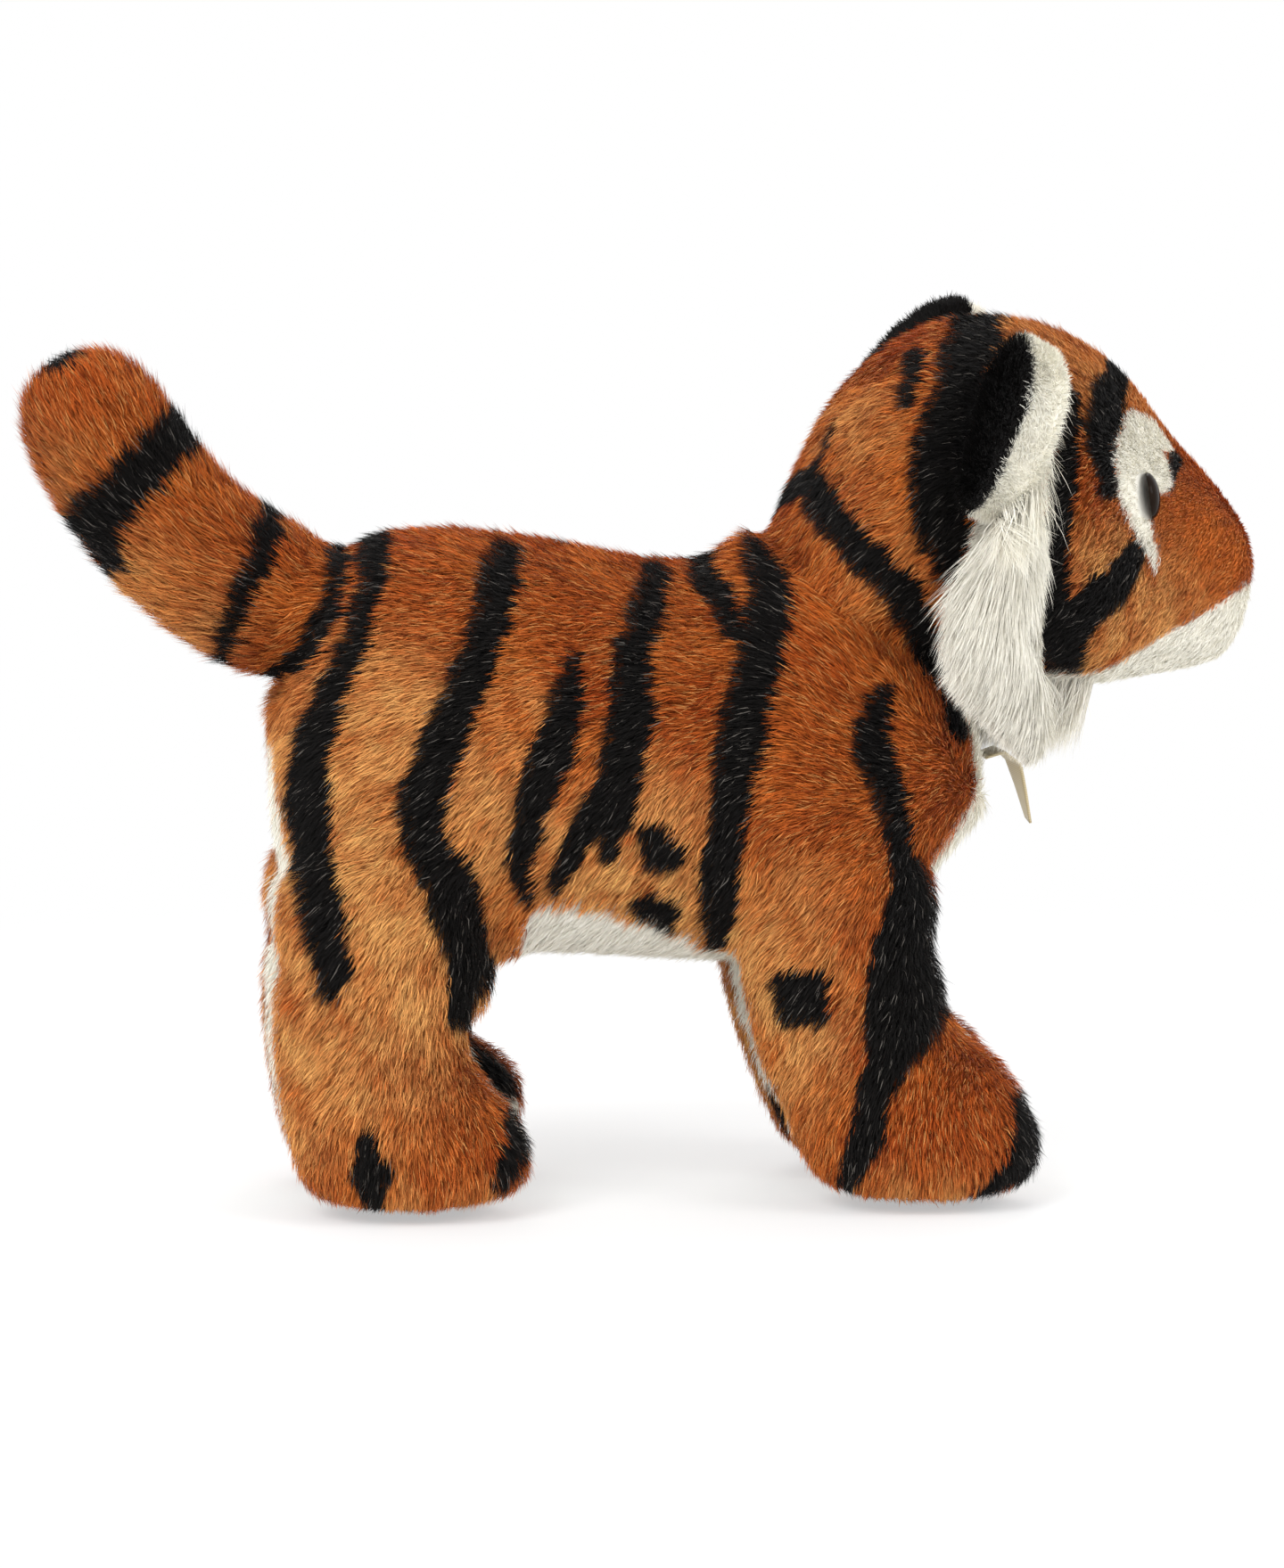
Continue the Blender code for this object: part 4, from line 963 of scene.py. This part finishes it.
def make_ear(side, cloth, fur, density, width):
    mesh = ear_skin(side)
    co, normal, faces = points_of(mesh), normals_of(mesh), triangles_of(mesh)
    _, (along, out, forward) = ear_axes(side)
    rng = np.random.default_rng(201 if side == "left" else 202)
    white_from = EAR_WHITE_FROM[side]

    def shades(points):
        white = step(ear_places(points, side)[2], white_from - 0.0005, white_from + 0.0005)
        return BLACK + (WHITE - BLACK) * white[:, None]

    def inside(points):
        beside, out_from_root, ahead = ear_places(points, side)
        return ((ahead > 0.002) & (out_from_root < 0.017) & (beside < 0.012)).astype(float)

    paint(mesh, shades(co) * 0.96)
    mesh.materials.append(cloth)
    skin = new_object("skin_ear_" + side, mesh)
    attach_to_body(skin, "ear_" + side)
    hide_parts("ear_back_" + side, "ear_front_" + side)

    root, up = scatter(co, faces, normal, density * 1.8, rng)
    beside, _, ahead = ear_places(root, side)
    white = ahead + 0.0003 * rng.normal(size=len(root)) > white_from
    colour = np.where(white[:, None], WHITE, BLACK) * np.exp(rng.normal(0, 0.06, len(root)))[:, None]
    aside = 0.5 * np.sign(beside)[:, None] * along * (np.abs(beside) > 0.015)[:, None]
    way = flattened(np.tile(out, (len(root), 1)) + aside, up)
    reach = np.where(white, 0.0030, 0.0034) * rng.uniform(0.75, 1.15, len(root))
    thick = width * rng.uniform(0.8, 1.2, len(root))
    soft = hairs("pile_ear_" + side, root, up, way, reach, thick, colour, rng,
                 lift=(58.0, 20.0), clump=0.12, stray=0.35)
    soft.materials.append(fur)
    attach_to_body(new_object("pile_ear_" + side, soft), "ear_" + side)

    root, up = scatter(co, faces, normal, density * 1.1, rng, inside)
    top = np.clip((ear_places(root, side)[0] + 0.026) / 0.036, 0, 1)[:, None]
    low_way, high_way = np.array((0.16, -0.30, -0.94)), np.array((0.66, -0.34, -0.60))
    way = low_way + (high_way - low_way) * top
    way = head_turned(np.array([mirrored(v, side) for v in way]))
    colour = np.tile(WHITE, (len(root), 1)) * np.exp(rng.normal(-0.02, 0.05, len(root)))[:, None]
    reach = (0.025 - 0.012 * top[:, 0]) * rng.uniform(0.6, 1.1, len(root))
    thick = width * 0.9 * np.ones(len(root))
    long = hairs("tuft_ear_" + side, root, up, flattened(way, up), reach, thick, colour, rng,
                 lift=(26.0, 6.0), clump=0.28, stray=0.16, spacing=0.0026, sections=LONG)
    long.materials.append(fur)
    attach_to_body(new_object("tuft_ear_" + side, long), "ear_" + side)


# Ruff's middle line and half width by height, in the head's frame
RUFF_HEIGHTS = (-0.0600, -0.0530, -0.0450, -0.0360, -0.0245, -0.0135, 0.0030)
RUFF_MIDDLES = (0.0030, 0.0010, -0.0050, -0.0120, -0.0150, -0.0120, -0.0050)
RUFF_HALVES = (0.0030, 0.0080, 0.0110, 0.0120, 0.0125, 0.0110, 0.0060)
# The far ruff hangs longer and further forward
RUFF_FORWARD = {"right": -7.0, "left": 24.0}
RUFF_EXTRA = {"right": -0.003, "left": 0.008}


def make_ruff(side, cloth, fur, density, width):
    node = "cheek_ruff_" + side
    mesh = smooth_skin(joined("ruff", [node]), RUFF_VOXEL, "ruff_" + side, 8, 0.0012)
    co, normal, faces = points_of(mesh), normals_of(mesh), triangles_of(mesh)
    rng = np.random.default_rng(211 if side == "left" else 212)
    paint(mesh, np.tile(WHITE * 0.96, (len(co), 1)))
    mesh.materials.append(cloth)
    skin = new_object("skin_ruff_" + side, mesh)
    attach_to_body(skin, "head")
    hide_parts(node)

    outward = head_turned(mirrored(np.array((0.0, -1.0, 0.0)), side)[None])[0]
    root, up = scatter(co, faces, normal, density * 2.8, rng)
    local = head_local(root)
    height = local[:, 2]
    middle = np.interp(height, RUFF_HEIGHTS, RUFF_MIDDLES)
    across = (local[:, 0] - middle) / np.interp(height, RUFF_HEIGHTS, RUFF_HALVES)
    inner = (up @ outward < -0.35) | (across > np.interp(height, (-0.050, -0.020), (1.0, 0.45)))
    lean = np.interp(across, (-1.0, -0.4, 0.3, 1.0), (-46.0, -24.0, -6.0, 4.0))
    lean *= step(height, -0.062, -0.036)
    lean += RUFF_FORWARD[side] * (1 - step(height, -0.050, -0.020))
    lean = np.radians(lean + rng.normal(0.0, 5.0, len(root)))
    way = np.stack([np.sin(lean), -0.12 * np.ones(len(root)), -np.cos(lean)], axis=1)
    way = head_turned(np.array([mirrored(v, side) for v in way]))
    # Painted shade: the ruff's hairs are a darker white than the rest of the white pile, as the shade
    # within the ruff
    colour = np.tile(WHITE * 0.92, (len(root), 1)) * np.exp(rng.normal(-0.02, 0.06, len(root)))[:, None]
    reach = np.interp(height, (-0.060, -0.045, -0.010, 0.005), (0.009, 0.012, 0.018, 0.015))
    reach += RUFF_EXTRA[side] * (1 - step(height, -0.050, -0.020))
    reach *= rng.uniform(0.6, 1.1, len(root))
    reach[inner] *= 0.30
    thick = width * 0.95 * np.ones(len(root))
    long = hairs("pile_ruff_" + side, root, up, flattened(way, up), reach, thick, colour, rng,
                 lift=(19.0, 2.0), clump=0.20, stray=0.12, spacing=0.0024, sections=LONG)
    long.materials.append(fur)
    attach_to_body(new_object("pile_ruff_" + side, long), "head")


def make_beard(co, faces, normal, fur, density, width):
    """Longer white pile that hangs from the throat."""
    rng = np.random.default_rng(221)

    def throat(points):
        local = head_local(points)
        near = np.abs(local[:, 0] - BEARD_PLACE) < BEARD_HALVES[0]
        return (near & (np.abs(local[:, 1]) < BEARD_HALVES[1]) & (local[:, 2] < BEARD_TOP)).astype(float)

    root, up = scatter(co, faces, normal, density * 2.0, rng, throat)
    local = head_local(root)
    ends = (-BEARD_HALVES[0], BEARD_HALVES[0])
    lean = np.radians(np.interp(local[:, 0] - BEARD_PLACE, ends, (-10.0, -20.0)))
    way = np.stack([np.sin(lean), np.zeros(len(root)), -np.cos(lean)], axis=1)
    way = head_turned(way + 0.08 * rng.normal(size=way.shape))
    colour = np.tile(WHITE * 0.95, (len(root), 1)) * np.exp(rng.normal(-0.02, 0.05, len(root)))[:, None]
    reach = BEARD_LENGTH * rng.uniform(0.55, 1.1, len(root))
    thick = width * 0.9 * np.ones(len(root))
    mesh = hung_hairs("tuft_throat", root, up, way, reach, thick, colour, rng)
    mesh.materials.append(fur)
    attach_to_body(new_object("tuft_throat", mesh), "head")


def hung_hairs(name, root, up, way, length, width, colour, rng):
    """Hairs that hang straight along their way, whatever the surface's slope."""
    way = way / np.linalg.norm(way, axis=1)[:, None]
    aside = np.cross(way, rng.normal(size=way.shape))
    aside /= np.linalg.norm(aside, axis=1)[:, None]
    return hairs(name, root, aside, way, length, width, colour, rng, lift=(6.0, -3.0), clump=0.2, stray=0.0,
                 spacing=0.0026, sections=LONG, sink=0.0)


# The throat's longer pile: its middle and half sizes in the head's frame, and its length
BEARD_PLACE, BEARD_HALVES = 0.0110, (0.0115, 0.017)
BEARD_TOP, BEARD_LENGTH = -0.036, 0.0200

# The eyes' domes, where they stand on the head, and the bearing they are seen to face
EYE_RADIUS, EYE_DOME = 0.0058, 0.0028
EYE_FACING, EYE_TILT, EYE_SEEN = 33.0, 8.0, 19.0
# How far a dome is sunk, and its back's depth as a share of its front's
STUD_SUNK, STUD_BACK = 0.0001, 0.10
NOSE_HALVES, NOSE_DOME, NOSE_TILT = (0.0085, 0.0055), 0.0042, 8.0


def facing(side, turn, tilt):
    turn, tilt = math.radians(turn), math.radians(tilt)
    local = np.array((math.cos(turn) * math.cos(tilt), -math.sin(turn) * math.cos(tilt), math.sin(tilt)))
    return Vector(head_turned(mirrored(local, side)[None])[0])


def stud_place(node, out, dome):
    """Where a stud's dome stands on the head, from the points of its CAD node."""
    co = points_of(NODES[node].data)
    height = co @ np.array(out)
    top = height.max()
    shown = co[height > top - 0.6 * dome]
    middle = Vector((shown.min(axis=0) + shown.max(axis=0)) / 2)
    return middle + out * (top - dome - middle.dot(out))


def make_stud(name, node, out, seen, halves, dome, material):
    """A smooth dome over the front of a stud. The pile lets it be seen from a little further forward."""
    middle = stud_place(node, out, dome) - STUD_SUNK * out
    out = seen
    side = Vector((0.0, 0.0, 1.0)).cross(out).normalized()
    up = out.cross(side)
    bm = bmesh.new()
    bmesh.ops.create_uvsphere(bm, u_segments=48, v_segments=32, radius=1.0)
    for vert in bm.verts:
        x, y, z = vert.co
        depth = z * dome if z > 0 else z * dome * STUD_BACK
        vert.co = middle + side * (x * halves[0]) + up * (y * halves[1]) + out * depth
    mesh = bpy.data.meshes.new(name)
    bm.to_mesh(mesh)
    bm.free()
    mesh.shade_smooth()
    mesh.materials.append(material)
    obj = new_object(name, mesh)
    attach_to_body(obj, "head")
    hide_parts(node)
    return middle


PLASTIC_SHINE = 0.05


def plastic(name, colour, roughness, coat, grain):
    """Moulded plastic with a faint grain."""
    mat = plain_material(name, colour, roughness)
    tree = mat.node_tree
    shader = tree.nodes["Principled BSDF"]
    shader.inputs["Coat Weight"].default_value = coat
    shader.inputs["Coat Roughness"].default_value = 0.03
    shader.inputs["Specular IOR Level"].default_value = PLASTIC_SHINE
    place = tree.nodes.new("ShaderNodeTexCoord")
    noise = tree.nodes.new("ShaderNodeTexNoise")
    noise.inputs["Scale"].default_value = 700.0
    tint = tree.nodes.new("ShaderNodeMix")
    tint.data_type = "RGBA"
    tint.inputs["A"].default_value = (*colour, 1.0)
    tint.inputs["B"].default_value = (*(c * (1 + grain) for c in colour), 1.0)
    tree.links.new(place.outputs["Object"], noise.inputs["Vector"])
    tree.links.new(noise.outputs["Fac"], tint.inputs["Factor"])
    tree.links.new(tint.outputs["Result"], shader.inputs["Base Color"])
    return mat


# The ribbon's run from its seam, seen from the side, and how far it is twisted
RIBBON_ROOT = Vector((0.08417, 0.0, 0.10751))
RIBBON_RUN = [
    (0.0, 0.0, 2.0), (0.0044, 0.0014, 6.0), (0.0080, -0.0016, 10.0),
    (0.0098, -0.0080, 4.0), (0.0118, -0.0163, -3.0),
]
RIBBON_WIDTH, RIBBON_THICKNESS = 0.0115, 0.0006


def make_ribbon():
    """A strip of cloth sewn under the chin, seen almost edge on."""
    rows = []
    run = np.array(RIBBON_RUN)
    steps = np.linspace(0, len(run) - 1, 25)
    for x, z, turn in zip(*(np.interp(steps, range(len(run)), run[:, k]) for k in range(3))):
        turn = math.radians(turn)
        half = Vector((-math.sin(turn), math.cos(turn), 0.0)) * (RIBBON_WIDTH / 2)
        middle = RIBBON_ROOT + Vector((x, 0.0, z))
        rows.append([middle + half * (2 * k / 8 - 1) for k in range(9)])
    points = [p for row in rows for p in row]
    corners = [9 * i + k for i in range(len(rows) - 1) for k in range(8)]
    faces = [(c, c + 1, c + 10, c + 9) for c in corners]
    mesh = bpy.data.meshes.new("ribbon")
    mesh.from_pydata(points, [], faces)
    mesh.shade_smooth()
    ribbon = new_object("ribbon", mesh)
    strip = ribbon.modifiers.new("strip", "SOLIDIFY")
    strip.thickness = RIBBON_THICKNESS
    strip.offset = 0.0
    mesh.materials.append(ribbon_material())
    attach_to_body(ribbon, "ribbon")
    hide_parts("chin_ribbon")


def ribbon_material():
    """Cream ribbon with fine ribs across it."""
    mat = plain_material("ribbon", (0.62, 0.54, 0.38), 0.5)
    tree = mat.node_tree
    shader = tree.nodes["Principled BSDF"]
    shader.inputs["Sheen Weight"].default_value = 0.1
    place = tree.nodes.new("ShaderNodeTexCoord")
    ribs = tree.nodes.new("ShaderNodeTexWave")
    ribs.bands_direction = "Z"
    ribs.inputs["Scale"].default_value = 700.0
    tint = tree.nodes.new("ShaderNodeMix")
    tint.data_type = "RGBA"
    tint.inputs["A"].default_value = (0.44, 0.35, 0.19, 1.0)
    tint.inputs["B"].default_value = (0.66, 0.56, 0.36, 1.0)
    tree.links.new(place.outputs["Object"], ribs.inputs["Vector"])
    tree.links.new(ribs.outputs["Fac"], tint.inputs["Factor"])
    tree.links.new(tint.outputs["Result"], shader.inputs["Base Color"])
    return mat


make_camera()
make_stage()

skin_nodes = {
    "torso": ["torso_skin", "belly_panel", "torso_stuffing"],
    "head": ["head_skin", "lip_panel", "head_stuffing"],
    "tail": ["tail_skin", "tail_stuffing"],
}
for leg in LEGS:
    skin_nodes["leg_" + leg] = ["leg_skin_" + leg, "leg_stuffing_" + leg, "sole_" + leg]

whole = body_skin()
cloth = pile_material("pile_backing", 0.9, 0.1)
fur = pile_material("pile")
DENSITY = 4.0
HAIR_WIDTH = 0.00024
PILE_LENGTH = {"torso": 0.0056, "head": 0.0048, "tail": 0.0068, "leg": 0.0050}

eye_plastic = plastic("eye_plastic", (0.010, 0.006, 0.004), 0.07, 0.0, 0.6)
nose_plastic = plastic("nose_plastic", (0.22, 0.075, 0.060), 0.32, 0.2, 0.35)
washer_plastic = plastic("washer_plastic", (0.75, 0.75, 0.72), 0.45, 0.0, 0.1)
bare = []
for side in ("left", "right"):
    out = facing(side, EYE_FACING, EYE_TILT)
    seen = facing(side, EYE_SEEN, EYE_TILT)
    halves = (EYE_RADIUS, EYE_RADIUS)
    eye_at = make_stud("eye_dome_" + side, "eye_" + side, out, seen, halves, EYE_DOME, eye_plastic)
    bare.append((eye_at, EYE_RADIUS))
out = facing("right", 0.0, NOSE_TILT)
nose_at = make_stud("nose_dome", "nose", out, out, NOSE_HALVES, NOSE_DOME, nose_plastic)
bare.append((nose_at, sum(NOSE_HALVES) / 2))
for node in ("eye_left_washer", "eye_right_washer", "nose_washer"):
    NODES[node].data.materials.clear()
    NODES[node].data.materials.append(washer_plastic)


def pile_length(root, part, rng):
    reach = PILE_LENGTH[part.split("_")[0]] * rng.uniform(0.7, 1.15, len(root))
    if part == "head":
        local = head_local(root)
        reach *= 1 - 0.42 * step(local[:, 0], 0.012, 0.045)
        for middle, radius in bare:
            away = np.linalg.norm(root - np.array(middle), axis=1)
            reach *= 0.45 + 0.55 * step(away, radius, radius + 0.006)
    return reach


FACE_LOW, FACE_EXTRA = 0.118, 0.7


def covered(points):
    """Density of the pile: none under the feet, the eyes and the nose, and more on the short-piled face."""
    keep = points[:, 2] > 0.0012
    for middle, radius in bare:
        keep &= np.linalg.norm(points - np.array(middle), axis=1) > radius * 0.95
    face = step(head_local(points)[:, 0], 0.010, 0.034) * (points[:, 2] > FACE_LOW)
    return keep * (1.0 + FACE_EXTRA * face)


for seed, (part, (co, faces, normal)) in enumerate(split(whole).items()):
    mesh = mesh_from("skin_" + part, co, faces)
    colour = pile_colour(co, part)
    # Painted shade: the skin under the pile is painted darker than its pile, less so where it is white, as
    # the shade deep among the hair roots
    paint(mesh, colour * (0.55 + 0.42 * np.clip(colour[:, 2:3] / 0.5, 0, 1)))
    mesh.materials.append(cloth)
    obj = attach(new_object("skin_" + part, mesh), part)
    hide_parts(*skin_nodes[part])
    rng = np.random.default_rng(100 + seed)
    root, up = scatter(co, faces, normal, DENSITY, rng, covered)
    way = comb(root, up, part)
    colour = pile_colour(root, part, rng)
    width = HAIR_WIDTH * rng.uniform(0.8, 1.3, len(root))
    flat = muzzle_share(root, part)
    pale = np.clip(colour[:, 2] / 0.5, 0, 1)
    lift = (46.0 - 20.0 * np.maximum(flat, pale), 5.0 - 3.0 * flat)
    mesh = hairs("pile_" + part, root, up, way, pile_length(root, part, rng), width, colour, rng, lift=lift)
    mesh.materials.append(fur)
    attach(new_object("pile_" + part, mesh), part)
    if part == "head":
        make_beard(co, faces, normal, fur, DENSITY, HAIR_WIDTH)
for side in ("left", "right"):
    make_ear(side, cloth, fur, DENSITY, HAIR_WIDTH)
    make_ruff(side, cloth, fur, DENSITY, HAIR_WIDTH)
make_ribbon()

bpy.data.meshes.remove(whole)
